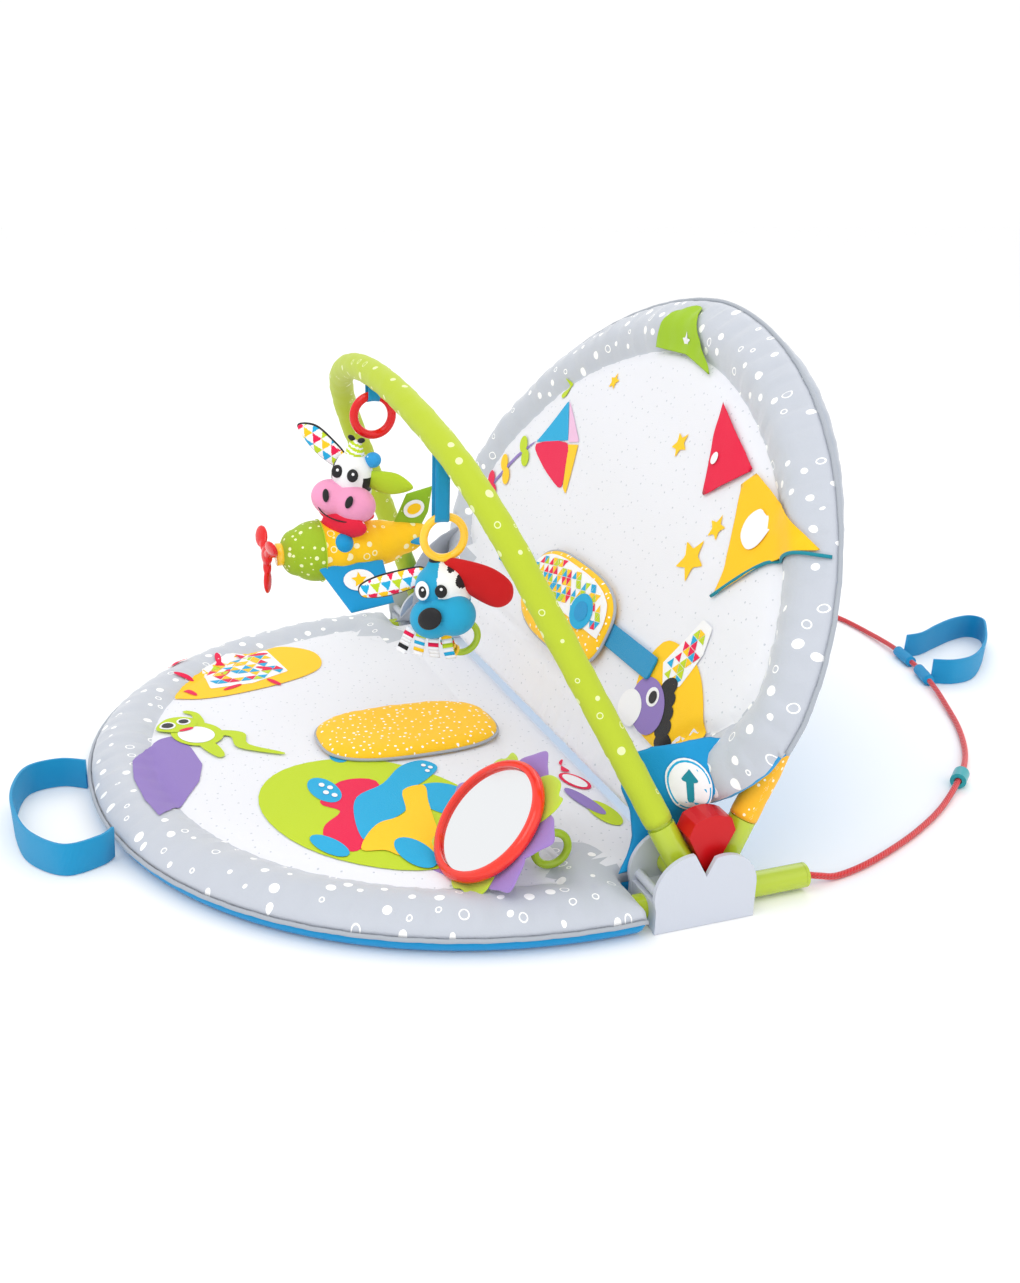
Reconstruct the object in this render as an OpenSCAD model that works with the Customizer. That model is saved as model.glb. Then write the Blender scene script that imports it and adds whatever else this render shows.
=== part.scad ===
/* [Frame] */
// Distance between the centre lines of the two side tubes
frame_w = 680; // [600:1:800]
// Outer diameter of the floor tube
base_tube_d = 22; // [18:0.5:26]
// Wall of every tube
tube_wall = 2; // [1:0.1:3]
// Height of the floor tube's centre line above the floor
base_tube_z = 12.5; // [12:0.1:16]
// Length of the straight stub behind the arch pivot
stub_l = 118; // [95:1:150]
// Distance from the arch pivot forward to where the floor tube starts to curve
base_straight = 50; // [45:1:120]
// Outer diameter of the arch and backrest tubes
upper_tube_d = 19; // [15:0.5:20]
// Wall of the fabric sleeves on the tubes
sleeve_wall = 1.9; // [1:0.1:2.1]
// Running gap between a tube and its sleeve
sleeve_gap = 0.3; // [0.2:0.05:0.5]

/* [Hinge hubs] */
// Height of the two hinge pins above the floor
pivot_z = 38.5; // [38:0.5:46]
// Distance from the arch pivot back to the backrest pivot
pivot_gap = 34; // [32:0.5:44]
// Width of a hub across its two shells
hub_w = 50; // [46:1:60]
// Height of the hub's front lobe
hub_h = 68; // [62:1:80]
// Height of the hub's rear lobe
hub_rear_h = 63; // [58:1:74]
// Wall of a hub shell
hub_wall = 4; // [3:0.5:5]
// Top of the saddle that clamps the floor tube
saddle_h = 25; // [24.8:0.1:25.2]
// Diameter of a hinge pin
pin_d = 8; // [6:0.5:10]
// Radial running clearance of a hinge pin
pin_gap = 0.05; // [0.02:0.01:0.1]
// Radius of the round boss on each tube foot
boss_r = 13; // [12:0.1:13.2]
// Radius of the neck on each tube foot
neck_r = 11.8; // [11.4:0.1:12]
// Length of a foot from its pivot to the end of its neck
neck_l = 46; // [40:1:60]
// Distance from the pivot to the bottom of the tube socket in a foot
socket_start = 18; // [15:1:24]
// Diameter of a hub screw
screw_d = 3.2; // [2.5:0.1:3.4]

/* [Toy arch] */
// Height of the arch measured along its own plane
arch_h = 393; // [320:1:480]
// Forward lean of the arch in degrees
arch_lean = 24.7; // [15:0.1:30]
// Inward lean of each arch leg in degrees
leg_lean = 21.8; // [15:0.1:24]
// How far outboard of the frame line the leg axis meets the pivot line
leg_out = 10; // [6:0.5:12]
// Rise from the end of the straight leg to the top of the arch
shoulder_rise = 120; // [100:1:140]
// Radius of the arch's shoulders
shoulder_r = 160; // [130:1:175]

/* [Backrest] */
// Backward lean of the backrest in degrees
back_lean = 24.5; // [18:0.1:30]
// Straight length of the backrest tube above its pivot
back_straight = 85; // [70:1:110]
// Half width of the backrest pad
back_half_w = 383; // [360:1:460]
// Half height of the pad's oval
back_half_h = 305; // [260:1:360]
// Height of the oval's centre above the pivots, along the backrest
back_oval_s = 138; // [120:1:170]
// Thickness of the backrest pad
back_pad_t = 24; // [18:1:34]
// Height of the pad's lower edge, measured along the backrest
back_pad_s = -10; // [-12:1:0]
// Height at which the lower leg's yellow cover ends
cover_end_s = 152; // [120:1:180]

/* [Floor mat] */
// Half width of the floor mat's oval
mat_half_w = 368; // [360:1:450]
// Half length of the floor mat's oval
mat_half_l = 390; // [385:1:470]
// Distance of the oval's centre in front of the arch pivot
mat_oval_y = 48; // [40:1:60]
// Top of the floor mat
mat_top = 30; // [28:0.5:40]
// Height of the seam between the blue underside and the top
mat_seam = 15; // [10:0.5:20]
// Position of the mat's rear edge behind the arch pivot
mat_rear = 8; // [2:1:14]
// Width of the piping
piping_w = 3; // [2:0.5:4]

/* [Webbing] */
// Width of the handle webbing
web_w = 30; // [20:1:38]
// Thickness of the webbing
web_t = 3; // [1.5:0.1:4]
// Diameter of the pull cord
cord_d = 6; // [4:0.5:8]

/* [Toys] */
// Centre radius of the red hanging ring
red_ring_r = 18; // [16:0.5:24]
// Wire radius of the red hanging ring
red_wire_r = 4; // [3:0.1:4.2]
// Centre radius of the yellow hanging ring
yellow_ring_r = 18; // [14:0.5:22]
// Wire radius of the yellow hanging ring
yellow_wire_r = 3.5; // [2.5:0.1:3.8]
// Drop of the puppy's strap below the arch's centre line
puppy_drop = 64.23; // [55:0.01:80]
// Span of the propeller
propeller_d = 74; // [60:1:90]
// Outer diameter of the mirror's rim
mirror_d = 115; // [95:1:130]
// Diameter of the mirror's rim wire
rim_d = 11; // [8:0.5:14]

/* [Hidden] */
$fn = 48;
side_x = frame_w / 2;
tube_r = upper_tube_d / 2;
base_r = base_tube_d / 2;
sleeve_r = tube_r + sleeve_gap + sleeve_wall;
base_sleeve_wall = 1.1;
base_sleeve_r = base_r + sleeve_gap + base_sleeve_wall;
channel_r = base_sleeve_r + 0.3;
free_gap = 0.3;
pin_r = pin_d / 2;
cavity_half = hub_w / 2 - hub_wall;
hub_front_y = -4;
hub_rear_y = pivot_gap - 9;
hub_foot_front = hub_front_y - hub_h / 2 + 2;
hub_foot_rear = hub_rear_y + hub_rear_h / 2;
pillar_r = 4;
pillar_z = 30.5;
pillar_y = [-29, pivot_gap / 2];

// Leg and arc geometry of the arch, in its own plane
leg_foot_x = side_x + leg_out;
leg_end_h = arch_h - shoulder_rise;
leg_end_x = leg_foot_x - leg_end_h * tan(leg_lean);
shoulder_x = leg_end_x - shoulder_r * cos(leg_lean);
shoulder_h = leg_end_h - shoulder_r * sin(leg_lean);
arch_top_rise = arch_h - shoulder_h;
top_r = (shoulder_x ^ 2 + arch_top_rise ^ 2 - shoulder_r ^ 2) / (2 * (arch_top_rise - shoulder_r));
top_h = arch_h - top_r;
shoulder_end = atan2(shoulder_h - top_h, shoulder_x);
leg_start = socket_start + 0.5;
butt_gap = 0.1;
arch_neck_end = neck_l + 2;

// Backrest geometry, in its own plane
pad_back = sleeve_r + free_gap;
pad_front = pad_back + back_pad_t;
cover_angle = asin((cover_end_s - back_straight) / side_x);
pad_inner_x = side_x - hub_w / 2 - 9;

// Where the toys hang
apex_y = -arch_h * sin(arch_lean);
apex_z = pivot_z + arch_h * cos(arch_lean);
loop_wire_r = 1.8;
loop_r = red_wire_r + 0.7 + loop_wire_r;
loop_z = apex_z - sleeve_r - free_gap - loop_r - loop_wire_r;
red_hang_z = loop_z + 0.1;
red_ring_z = red_hang_z - red_ring_r;
puppy_x = 160;
puppy_arc = acos((puppy_x - shoulder_x) / shoulder_r);
puppy_h = shoulder_h + shoulder_r * sin(puppy_arc);
puppy_y = -puppy_h * sin(arch_lean);
puppy_top_z = pivot_z + puppy_h * cos(arch_lean);
strap_end_z = puppy_top_z - puppy_drop;
yellow_hang_z = strap_end_z + 5;
yellow_ring_z = yellow_hang_z - yellow_ring_r;
toy_turn = 62;
// The toys are drawn where they hang from the arch as it is now, and shift with it
toy_drawn = [0, -164.22, 357.34];
toy_shift = [0, apex_y, red_ring_z] - toy_drawn;
puppy_drawn_z = 300;
puppy_shift = strap_end_z - puppy_drawn_z;
mirror_pos = [264, -144, 72];
mirror_tilt = [45.2, 0, 4.4];
rim_r = rim_d / 2;
mirror_rim_r = mirror_d / 2 - rim_r;

// Route of the free pull cord from the left stub round to the right one
cord_route = [
    [340, 122, 12.5], [340, 138, 8], [338, 158, 3.2], [331, 190, 3.2], [315, 232, 3.2], [292, 280, 3.2],
    [262, 330, 4], [222, 382, 8.2], [174, 428, 4], [120, 464, 3.2], [66, 490, 4], [10, 512, 6.6],
    [-46, 530, 6.6], [-104, 541, 6.6], [-164, 546, 4], [-222, 543, 3.2], [-274, 526, 3.2], [-316, 494, 3.2],
    [-346, 446, 3.2], [-363, 388, 3.2], [-370, 326, 3.2], [-368, 262, 3.2], [-358, 204, 3.2], [-346, 160, 3.2],
    [-341, 138, 8], [-340, 122, 12.5]
];
cord_steps = 3;
cord_sides = 8;

function superellipse(a, b, n, count) = [
    for (i = [0 : count - 1])
        let (t = 360 * i / count, c = cos(t), s = sin(t))
        [a * sign(c) * abs(c) ^ (2 / n), b * sign(s) * abs(s) ^ (2 / n)]
];
function spline_point(a, b, c, d, t) =
    0.5 * (2 * b + (c - a) * t + (2 * a - 5 * b + 4 * c - d) * t ^ 2 + (3 * b - a - 3 * c + d) * t ^ 3);
function smooth(p, steps) = let (last = len(p) - 1) [
    for (i = [0 : last - 1])
        for (k = [0 : steps - 1])
            spline_point(p[max(i - 1, 0)], p[i], p[i + 1], p[min(i + 2, last)], k / steps),
    p[last]
];
function unit(v) = v / norm(v);
function heading(p, i) = unit(p[min(i + 1, len(p) - 1)] - p[max(i - 1, 0)]);
function side_point(p, i, d) = let (h = heading(p, i)) p[i] + d * [-h[1], h[0]];
function band(p, t) = concat(
    [for (i = [0 : len(p) - 1]) side_point(p, i, t / 2)],
    [for (i = [len(p) - 1 : -1 : 0]) side_point(p, i, -t / 2)]
);
function petals(r_in, r_out, count) = [
    for (i = [0 : count * 2 - 1])
        let (r = i % 2 == 0 ? r_out : r_in, a = 180 * i / count)
        [r * cos(a), r * sin(a)]
];

module arch_plane() translate([0, 0, pivot_z]) rotate([arch_lean + 90, 0, 0]) children();
module back_plane() translate([0, pivot_gap, pivot_z]) rotate([90 - back_lean, 0, 0]) children();
module both_sides() {
    children();
    mirror([1, 0, 0]) children();
}
module x_rod(r, x0, x1, y, z) translate([x0, y, z]) rotate([0, 90, 0]) cylinder(r = r, h = x1 - x0);
module bend(centre_r, r, from, to) rotate([0, 0, from])
    rotate_extrude(angle = to - from, $fn = 96) translate([centre_r, 0]) circle(r = r, $fn = 32);
module bent_tube(centre_r, r_out, r_in, from, to) rotate([0, 0, from])
    rotate_extrude(angle = to - from, $fn = 96) translate([centre_r, 0]) difference() {
        circle(r = r_out, $fn = 32);
        circle(r = r_in, $fn = 32);
    }
module torus(ring_r, wire_r) rotate_extrude($fn = 48) translate([ring_r, 0]) circle(r = wire_r, $fn = 24);

// Floor frame
module base_path(r, rear) {
    translate([0, -base_straight, base_tube_z]) {
        bend(side_x, r, 180, 360);
        both_sides() translate([side_x, 0, 0]) rotate([-90, 0, 0]) cylinder(r = r, h = rear + base_straight);
    }
}
module base_tube() color("yellowgreen") difference() {
    base_path(base_r, stub_l);
    base_path(base_r - tube_wall, stub_l + 1);
}
module base_sleeve() color("deepskyblue") difference() {
    base_path(base_sleeve_r, hub_foot_front - 2);
    base_path(base_r + sleeve_gap, stub_l);
}
module stub_caps() color("yellowgreen") both_sides() translate([side_x, stub_l, base_tube_z]) rotate([-90, 0, 0])
    difference() {
        union() {
            translate([0, 0, 0.2]) cylinder(r = base_r, h = 3);
            translate([0, 0, -10]) cylinder(r = base_r - tube_wall - 0.2, h = 11);
        }
        translate([0, 0, -11]) cylinder(r = cord_d / 2 + 0.8, h = 20);
    }

// Floor mat
module mat_area(grow) translate([0, -mat_oval_y, 0])
    polygon(superellipse(mat_half_w + grow, mat_half_l + grow, 2.12, 120));
module mat_slab(z0, z1) difference() {
    intersection() {
        translate([0, 0, z0]) linear_extrude(z1 - z0) mat_area(0);
        union() {
            translate([-500, -600, z0]) cube([1000, 600 + hub_foot_front - 6, z1 - z0]);
            translate([-pad_inner_x, -600, z0]) cube([2 * pad_inner_x, 600 + mat_rear, z1 - z0]);
        }
    }
    base_path(channel_r, stub_l);
}
module floor_mat() color("whitesmoke") mat_slab(mat_seam + 0.2, mat_top);
module mat_underside() color("deepskyblue") mat_slab(0, mat_seam);
module mat_piping() color("lightsteelblue") intersection() {
    translate([0, 0, mat_seam - piping_w / 2]) linear_extrude(piping_w) difference() {
        mat_area(free_gap + piping_w);
        mat_area(free_gap);
    }
    translate([-500, -600, 0]) cube([1000, 600 + hub_foot_front - 6, 60]);
}

// Hinge hubs: the plates stand across X, and the saddle halves clamp the floor tube
module hub_shape(x0, x1) {
    difference() {
        union() {
            x_rod(hub_h / 2, x0, x1, hub_front_y, hub_h / 2);
            x_rod(hub_rear_h / 2, x0, x1, hub_rear_y, hub_rear_h / 2);
            translate([x0, hub_foot_front, 0]) cube([x1 - x0, hub_foot_rear - hub_foot_front, hub_rear_h / 2]);
        }
        translate([x0 - 1, 0, 0]) rotate([90, 0, 90]) linear_extrude(x1 - x0 + 2)
            polygon([[pivot_gap / 4, pivot_z + 7.5], [pivot_gap * 0.7, hub_h + 9], [-pivot_gap * 0.25, hub_h + 9]]);
    }
}
module hub_half(plate_x0, plate_x1, inner_x0, inner_x1) {
    hub_shape(plate_x0, plate_x1);
    translate([inner_x0, hub_foot_front + 1, 0])
        cube([inner_x1 - inner_x0, hub_foot_rear - hub_foot_front - 2, saddle_h]);
    for (y = pillar_y) x_rod(pillar_r, inner_x0, inner_x1, y, pillar_z);
}
module hub_cuts() {
    translate([side_x, -100, base_tube_z]) rotate([-90, 0, 0]) cylinder(r = base_r + 0.1, h = 300);
}
module hub_outer() color("gainsboro") difference() {
    hub_half(side_x + cavity_half, side_x + hub_w / 2, side_x + 0.1, side_x + cavity_half + 0.5);
    hub_cuts();
    for (y = [0, pivot_gap])
        x_rod(pin_r + pin_gap, side_x, side_x + hub_w / 2 - 1.5, y, pivot_z);
    for (y = pillar_y) x_rod(screw_d / 2 + 0.1, side_x - 1, side_x + cavity_half - 2, y, pillar_z);
}
module hub_inner() color("gainsboro") difference() {
    hub_half(side_x - hub_w / 2, side_x - cavity_half, side_x - cavity_half - 0.5, side_x - 0.1);
    hub_cuts();
    for (y = [0, pivot_gap])
        x_rod(pin_r + pin_gap, side_x - hub_w / 2 - 1, side_x, y, pivot_z);
    for (y = pillar_y) {
        x_rod(screw_d / 2 + 0.3, side_x - hub_w / 2 - 1, side_x + 1, y, pillar_z);
        x_rod(screw_d + 0.3, side_x - hub_w / 2 - 1, side_x - hub_w / 2 + 2.4, y, pillar_z);
    }
}
module hub_outer_left() hub_outer();
module hub_outer_right() mirror([1, 0, 0]) hub_outer();
module hub_inner_left() hub_inner();
module hub_inner_right() mirror([1, 0, 0]) hub_inner();
module pivot_pins() color("silver") both_sides() for (y = [0, pivot_gap])
    x_rod(pin_r, side_x - hub_w / 2 + 0.2, side_x + hub_w / 2 - 1.7, y, pivot_z);
module hub_screws() color("silver") both_sides() for (y = pillar_y) {
    x_rod(screw_d / 2, side_x - hub_w / 2 + 1, side_x + cavity_half - 3, y, pillar_z);
    x_rod(screw_d, side_x - hub_w / 2 + 0.2, side_x - hub_w / 2 + 2.2, y, pillar_z);
}

// Red lock wedge: a fan between the arch leg and the backrest tube
module lock_wedge() {
    gap_r = max(sleeve_r + 0.6, neck_r + 0.5);
    front = [gap_r * cos(arch_lean), gap_r * sin(arch_lean)];
    rear = [pivot_gap - gap_r * cos(back_lean), gap_r * sin(back_lean)];
    tip = pivot_gap / 2;
    color("red") translate([side_x - 8, 0, pivot_z]) rotate([90, 0, 90]) linear_extrude(22) polygon(concat(
        [[tip - 3, pillar_z + pillar_r + free_gap - pivot_z], [tip + 3, pillar_z + pillar_r + free_gap - pivot_z]],
        [[tip + 3, 6], [rear[0] + 0.4, 4.5 + rear[1]], rear + 38 * [sin(back_lean), cos(back_lean)]],
        [for (a = [60 : 10 : 120]) [tip + 34 * cos(a), 22 + 34 * sin(a)]],
        [front + 38 * [-sin(arch_lean), cos(arch_lean)], [front[0] - 0.4, 4.5 + front[1]], [tip - 3, 6]]
    ));
}
module lock_wedge_left() lock_wedge();
module lock_wedge_right() mirror([1, 0, 0]) lock_wedge();

// Fabric side walls between the mat and the backrest
wall_lean = 12;
wall_t = 4;
wall_z = mat_top + 1;
module side_wall() color("deepskyblue") translate([pad_inner_x, 0, wall_z]) rotate([0, -wall_lean, 0])
    rotate([90, 0, 90]) translate([0, 0, -wall_t]) linear_extrude(wall_t)
    polygon([[-60, 0], [-43, 46], [-18, 92], [36, 112], [-3, 26], [-7, 14], [-7, 0]]);
module side_wall_left() side_wall();
module side_wall_right() mirror([1, 0, 0]) side_wall();

// Webbing handles
front_loop = smooth([[-40, -439], [-52, -462], [-44, -492], [-6, -506], [40, -508], [86, -500],
    [118, -474], [112, -444], [100, -430]], 4);
module front_handle() color("deepskyblue") difference() {
    translate([0, 0, 0.5]) linear_extrude(web_w) polygon(band(front_loop, web_t));
    translate([0, 0, -1]) linear_extrude(60) mat_area(2 * free_gap + piping_w);
}
rear_loop = smooth([[-8, 523.5], [2, 548], [-4, 580], [-34, 618], [-74, 655], [-104, 676], [-121, 668],
    [-118, 640], [-102, 600], [-88, 568], [-86, 543.5]], 4);
grip_r = cord_d / 2 + 3.5;
module cord_grip(a, b) {
    mid = (a + b) / 2;
    turn = atan2(b[1] - a[1], b[0] - a[0]);
    translate([mid[0], mid[1], grip_r + 0.1]) rotate([0, 90, turn]) difference() {
        cylinder(r = grip_r, h = 36, center = true);
        cylinder(r = grip_r - web_t + 1.1, h = 40, center = true);
    }
}
module rear_handle() color("deepskyblue") {
    translate([0, 0, 0.5]) linear_extrude(web_w) polygon(band(rear_loop, web_t));
    cord_grip(cord_route[11], cord_route[12]);
    cord_grip(cord_route[12], cord_route[13]);
}

// Free pull cord
function ring_points(p, i, r) = let (h = heading(p, i), s = unit(cross(h, [0, 0, 1])), u = cross(s, h)) [
    for (k = [0 : cord_sides - 1])
        let (a = 360 * k / cord_sides + 22.5)
        p[i] + r * (cos(a) * s + sin(a) * u)
];
module cord_tube(r) {
    p = smooth(cord_route, cord_steps);
    count = len(p);
    polyhedron(
        points = [for (i = [0 : count - 1]) each ring_points(p, i, r)],
        faces = concat(
            [[for (k = [0 : cord_sides - 1]) k]],
            [for (i = [0 : count - 2], k = [0 : cord_sides - 1])
                let (a = i * cord_sides + k, b = i * cord_sides + (k + 1) % cord_sides)
                [a, a + cord_sides, b + cord_sides, b]],
            [[for (k = [cord_sides - 1 : -1 : 0]) (count - 1) * cord_sides + k]]
        )
    );
}
module cord() color("red") cord_tube(cord_d / 2);
stopper_r = 8;
module cord_stopper() {
    mid = cord_route[7];
    turn = atan2(cord_route[8][1] - cord_route[6][1], cord_route[8][0] - cord_route[6][0]);
    color("teal") translate([mid[0], mid[1], stopper_r + 0.2]) rotate([0, 90, turn]) difference() {
        cylinder(r = stopper_r, h = 20, center = true);
        cylinder(r = cord_d / 2 + 0.8, h = 22, center = true);
    }
}

// Backrest
module back_legs(r, s0, s1) both_sides() translate([side_x, s0, 0]) rotate([-90, 0, 0]) cylinder(r = r, h = s1 - s0);
module back_path(r) {
    translate([0, back_straight, 0]) bend(side_x, r, 0, 180);
    back_legs(r, leg_start, back_straight);
}
module back_tube() color("yellowgreen") back_plane() difference() {
    back_path(tube_r);
    union() {
        translate([0, back_straight, 0]) bend(side_x, tube_r - tube_wall, 0, 180);
        back_legs(tube_r - tube_wall, leg_start - 1, back_straight);
    }
}
module back_sleeve() color("deepskyblue") back_plane() translate([0, back_straight, 0]) difference() {
    bend(side_x, sleeve_r, cover_angle + 0.1, 180 - cover_angle - 0.1);
    bend(side_x, tube_r + sleeve_gap, cover_angle - 1, 181 - cover_angle);
}
module leg_cover() color("gold") back_plane() difference() {
    union() {
        translate([side_x, neck_l + 1, 0]) rotate([-90, 0, 0]) cylinder(r = sleeve_r, h = back_straight - neck_l - 1);
        translate([0, back_straight, 0]) bend(side_x, sleeve_r, 0, cover_angle);
    }
    translate([side_x, neck_l, 0]) rotate([-90, 0, 0]) cylinder(r = tube_r + sleeve_gap, h = back_straight - neck_l);
    translate([0, back_straight, 0]) bend(side_x, tube_r + sleeve_gap, 0, cover_angle + 1);
}
module leg_cover_left() leg_cover();
module leg_cover_right() mirror([1, 0, 0]) leg_cover();
module boss(y) x_rod(boss_r, side_x - cavity_half + 0.6, side_x + cavity_half - 0.6, y, 0);
module back_foot() color("yellowgreen") difference() {
    union() {
        translate([0, 0, pivot_z]) boss(pivot_gap);
        back_plane() translate([side_x, 6, 0]) rotate([-90, 0, 0]) cylinder(r = neck_r, h = neck_l - 6);
    }
    back_plane() translate([side_x, socket_start, 0]) rotate([-90, 0, 0]) cylinder(r = tube_r + 0.1, h = 90);
    x_rod(pin_r + pin_gap, side_x - 60, side_x + 60, pivot_gap, pivot_z);
}
module back_foot_left() back_foot();
module back_foot_right() mirror([1, 0, 0]) back_foot();
module back_area(grow) translate([0, back_oval_s])
    polygon(superellipse(back_half_w + grow, back_half_h + grow, 1.81, 120));
module backrest_pad() color("gainsboro") back_plane() translate([0, 0, pad_back]) linear_extrude(back_pad_t)
    difference() {
        back_area(0);
        translate([-600, -600]) square([1200, 600 + back_pad_s]);
        both_sides() polygon([[pad_inner_x, -200], [pad_inner_x, 62], [side_x + 34, 112],
            [side_x + 300, 112], [side_x + 300, -200]]);
    }
module backrest_piping() color("lightsteelblue") back_plane()
    translate([0, 0, pad_back + back_pad_t / 2 - piping_w / 2]) linear_extrude(piping_w) difference() {
        back_area(free_gap + piping_w);
        back_area(free_gap);
        translate([-600, -600]) square([1200, 716]);
    }

// Fabric pennants sewn on the backrest
module flap(points) back_plane() translate([0, 0, pad_front + free_gap]) linear_extrude(2) polygon(points);
module pennant_green() color("yellowgreen") flap([[-122, 388], [-40, 434], [12, 436], [55, 388]]);
module pennant_red() color("crimson") flap([[62, 392], [196, 326], [78, 334]]);
module pennant_yellow() color("gold") flap([[206, 318], [326, 282], [224, 212]]);

// Soft harness
module crotch_pad() color("gold") translate([0, -130, mat_top + free_gap]) linear_extrude(12)
    polygon(superellipse(58, 92, 2.8, 48));
module waist_panel() color("tomato") back_plane() translate([0, 105, pad_front + free_gap]) linear_extrude(12)
    polygon(superellipse(96, 46, 3, 48));
module waist_strap() color("deepskyblue") back_plane() translate([97, 96, pad_front + free_gap]) cube([90, 25, 3]);
module waist_strap_left() waist_strap();
module waist_strap_right() mirror([1, 0, 0]) waist_strap();

// Toy arch: two legs, two shoulders and a top section, butted end to end
function butt_angle(r) = butt_gap / r * 180 / PI;
module arch_leg(r, h0, h1) translate([leg_foot_x - h0 * tan(leg_lean), h0, 0]) rotate([0, 0, leg_lean])
    rotate([-90, 0, 0]) cylinder(r = r, h = (h1 - h0) / cos(leg_lean));
module arch_path(r_out, r_in, h0) {
    translate([0, top_h, 0]) bent_tube(top_r, r_out, r_in, shoulder_end + butt_angle(top_r),
        180 - shoulder_end - butt_angle(top_r));
    both_sides() {
        translate([shoulder_x, shoulder_h, 0])
            bent_tube(shoulder_r, r_out, r_in, leg_lean + butt_angle(shoulder_r), shoulder_end);
        difference() {
            arch_leg(r_out, h0, leg_end_h);
            arch_leg(r_in, h0 - 5, leg_end_h + 5);
        }
    }
}
module arch_tube() color("yellowgreen") arch_plane() arch_path(tube_r, tube_r - tube_wall, leg_start);
module arch_sleeve() color("greenyellow") arch_plane() arch_path(sleeve_r, tube_r + sleeve_gap, arch_neck_end);
module arch_foot() color("yellowgreen") difference() {
    union() {
        translate([0, 0, pivot_z]) boss(0);
        arch_plane() arch_leg(neck_r, 9, neck_l);
    }
    arch_plane() arch_leg(tube_r + 0.1, socket_start, neck_l + 30);
    x_rod(pin_r + pin_gap, side_x - 60, side_x + 60, 0, pivot_z);
}
module arch_foot_left() arch_foot();
module arch_foot_right() mirror([1, 0, 0]) arch_foot();

// Loop and strap sewn to the arch
module plane_loop() color("yellowgreen") translate([0, apex_y, loop_z]) rotate([90, 0, 0]) torus(loop_r, loop_wire_r);
module puppy_strap() color("deepskyblue") difference() {
    translate([puppy_x - 8, puppy_y - 1.5, strap_end_z - 6]) cube([16, 3, puppy_top_z - strap_end_z + 6]);
    translate([puppy_x, puppy_y + 5, yellow_hang_z]) rotate([90, 0, 0]) cylinder(r = yellow_wire_r + 1, h = 10);
    arch_plane() translate([shoulder_x, shoulder_h, 0]) bend(shoulder_r, sleeve_r + free_gap,
        puppy_arc - 25, puppy_arc + 15);
}

// Calf in a plane
nose_y = -262;
calf_y = -186;
module plane_ring() color("red") translate([0, apex_y, red_ring_z]) rotate([0, 90, 0]) torus(red_ring_r, red_wire_r);
module calf_frame() translate(toy_shift + [0, calf_y, 0]) rotate([0, 0, toy_turn]) children();
module calf_head() color("white") difference() {
    calf_frame() {
        translate([0, 0, 300]) sphere(r = 24);
        translate([0, -6, 286]) sphere(r = 23);
        translate([0, 2, 312]) cylinder(r = 9, h = 26);
        both_sides() translate([18, 2, 308]) rotate([0, 62, 0]) cylinder(r1 = 10, r2 = 6, h = 38, $fn = 32);
    }
    translate([0, apex_y, red_ring_z]) rotate([0, 90, 0]) torus(red_ring_r, red_wire_r + free_gap);
}
module calf_bandana() color("crimson") calf_frame() translate([0, 0, 261.5]) difference() {
    cylinder(r = 26, h = 9);
    translate([0, -6, 24.5]) sphere(r = 23.3);
    translate([0, 0, 38.5]) sphere(r = 24.3);
}
module plane_body() color("gold") translate(toy_shift) difference() {
    union() {
        translate([0, -220, 233]) sphere(r = 30);
        translate([0, -220, 233]) rotate([-90, 0, 0]) cylinder(r1 = 30, r2 = 26, h = 50, $fn = 48);
        translate([0, -170, 233]) sphere(r = 26);
        translate([0, -170, 233]) rotate([-86, 0, 0]) cylinder(r1 = 26, r2 = 9, h = 52, $fn = 48);
        translate([0, -246, 232]) rotate([90, 0, 0]) cylinder(r = 15, h = 12);
    }
    translate([0, calf_y, 261.2]) cylinder(r = 27, h = 20);
    translate([0, -250, 232]) rotate([90, 0, 0]) cylinder(r = 3.05, h = 20);
}
module plane_wings() color("deepskyblue") translate(toy_shift) both_sides() difference() {
    translate([22, 0, 226]) rotate([0, 12, 0]) linear_extrude(9)
        polygon([[0, -226], [58, -216], [66, -196], [58, -172], [0, -162]]);
    translate([0, -220, 233]) sphere(r = 30.4);
    translate([0, -220, 233]) rotate([-90, 0, 0]) cylinder(r1 = 30.4, r2 = 26.4, h = 50, $fn = 48);
    translate([0, -170, 233]) sphere(r = 26.4);
    translate([0, -170, 233]) rotate([-86, 0, 0]) cylinder(r1 = 26.4, r2 = 9.4, h = 52, $fn = 48);
}
module plane_tail() color("yellowgreen") translate(toy_shift + [-4, 0, 0]) rotate([90, 0, 90]) linear_extrude(8)
    polygon([[-142, 251.8], [-134, 282], [-112, 288], [-106, 256], [-112, 248.3]]);
module propeller() color("red") translate(toy_shift + [0, nose_y, 232]) rotate([90, 0, 0]) {
    cylinder(r = 9, h = 9);
    translate([0, 0, -9]) cylinder(r = 3, h = 12);
    for (a = [30, 150, 270]) rotate([0, 0, a]) translate([0, -7, 2]) cube([propeller_d / 2, 14, 4]);
}

// Puppy rattle
module puppy_ring() color("gold") translate([puppy_x, puppy_y, yellow_ring_z]) rotate([0, 90, 0])
    torus(yellow_ring_r, yellow_wire_r);
module puppy_frame() translate([puppy_x, puppy_y, puppy_shift]) rotate([0, 0, toy_turn]) children();
module puppy_head() color("skyblue") difference() {
    puppy_frame() {
        translate([0, 0, 238]) sphere(r = 27);
        translate([0, -12, 224]) sphere(r = 22);
        translate([0, 0, 258]) cylinder(r = 6, h = 14);
    }
    translate([puppy_x, puppy_y, yellow_ring_z]) rotate([0, 90, 0]) torus(yellow_ring_r, yellow_wire_r + free_gap);
}
module puppy_ears() color("crimson") puppy_frame() translate([0, 0, 250]) difference() {
    both_sides() rotate([0, 24, 0]) translate([20, -4, -14]) cube([46, 8, 22]);
    translate([0, 0, -12]) sphere(r = 27.3);
}
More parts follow.
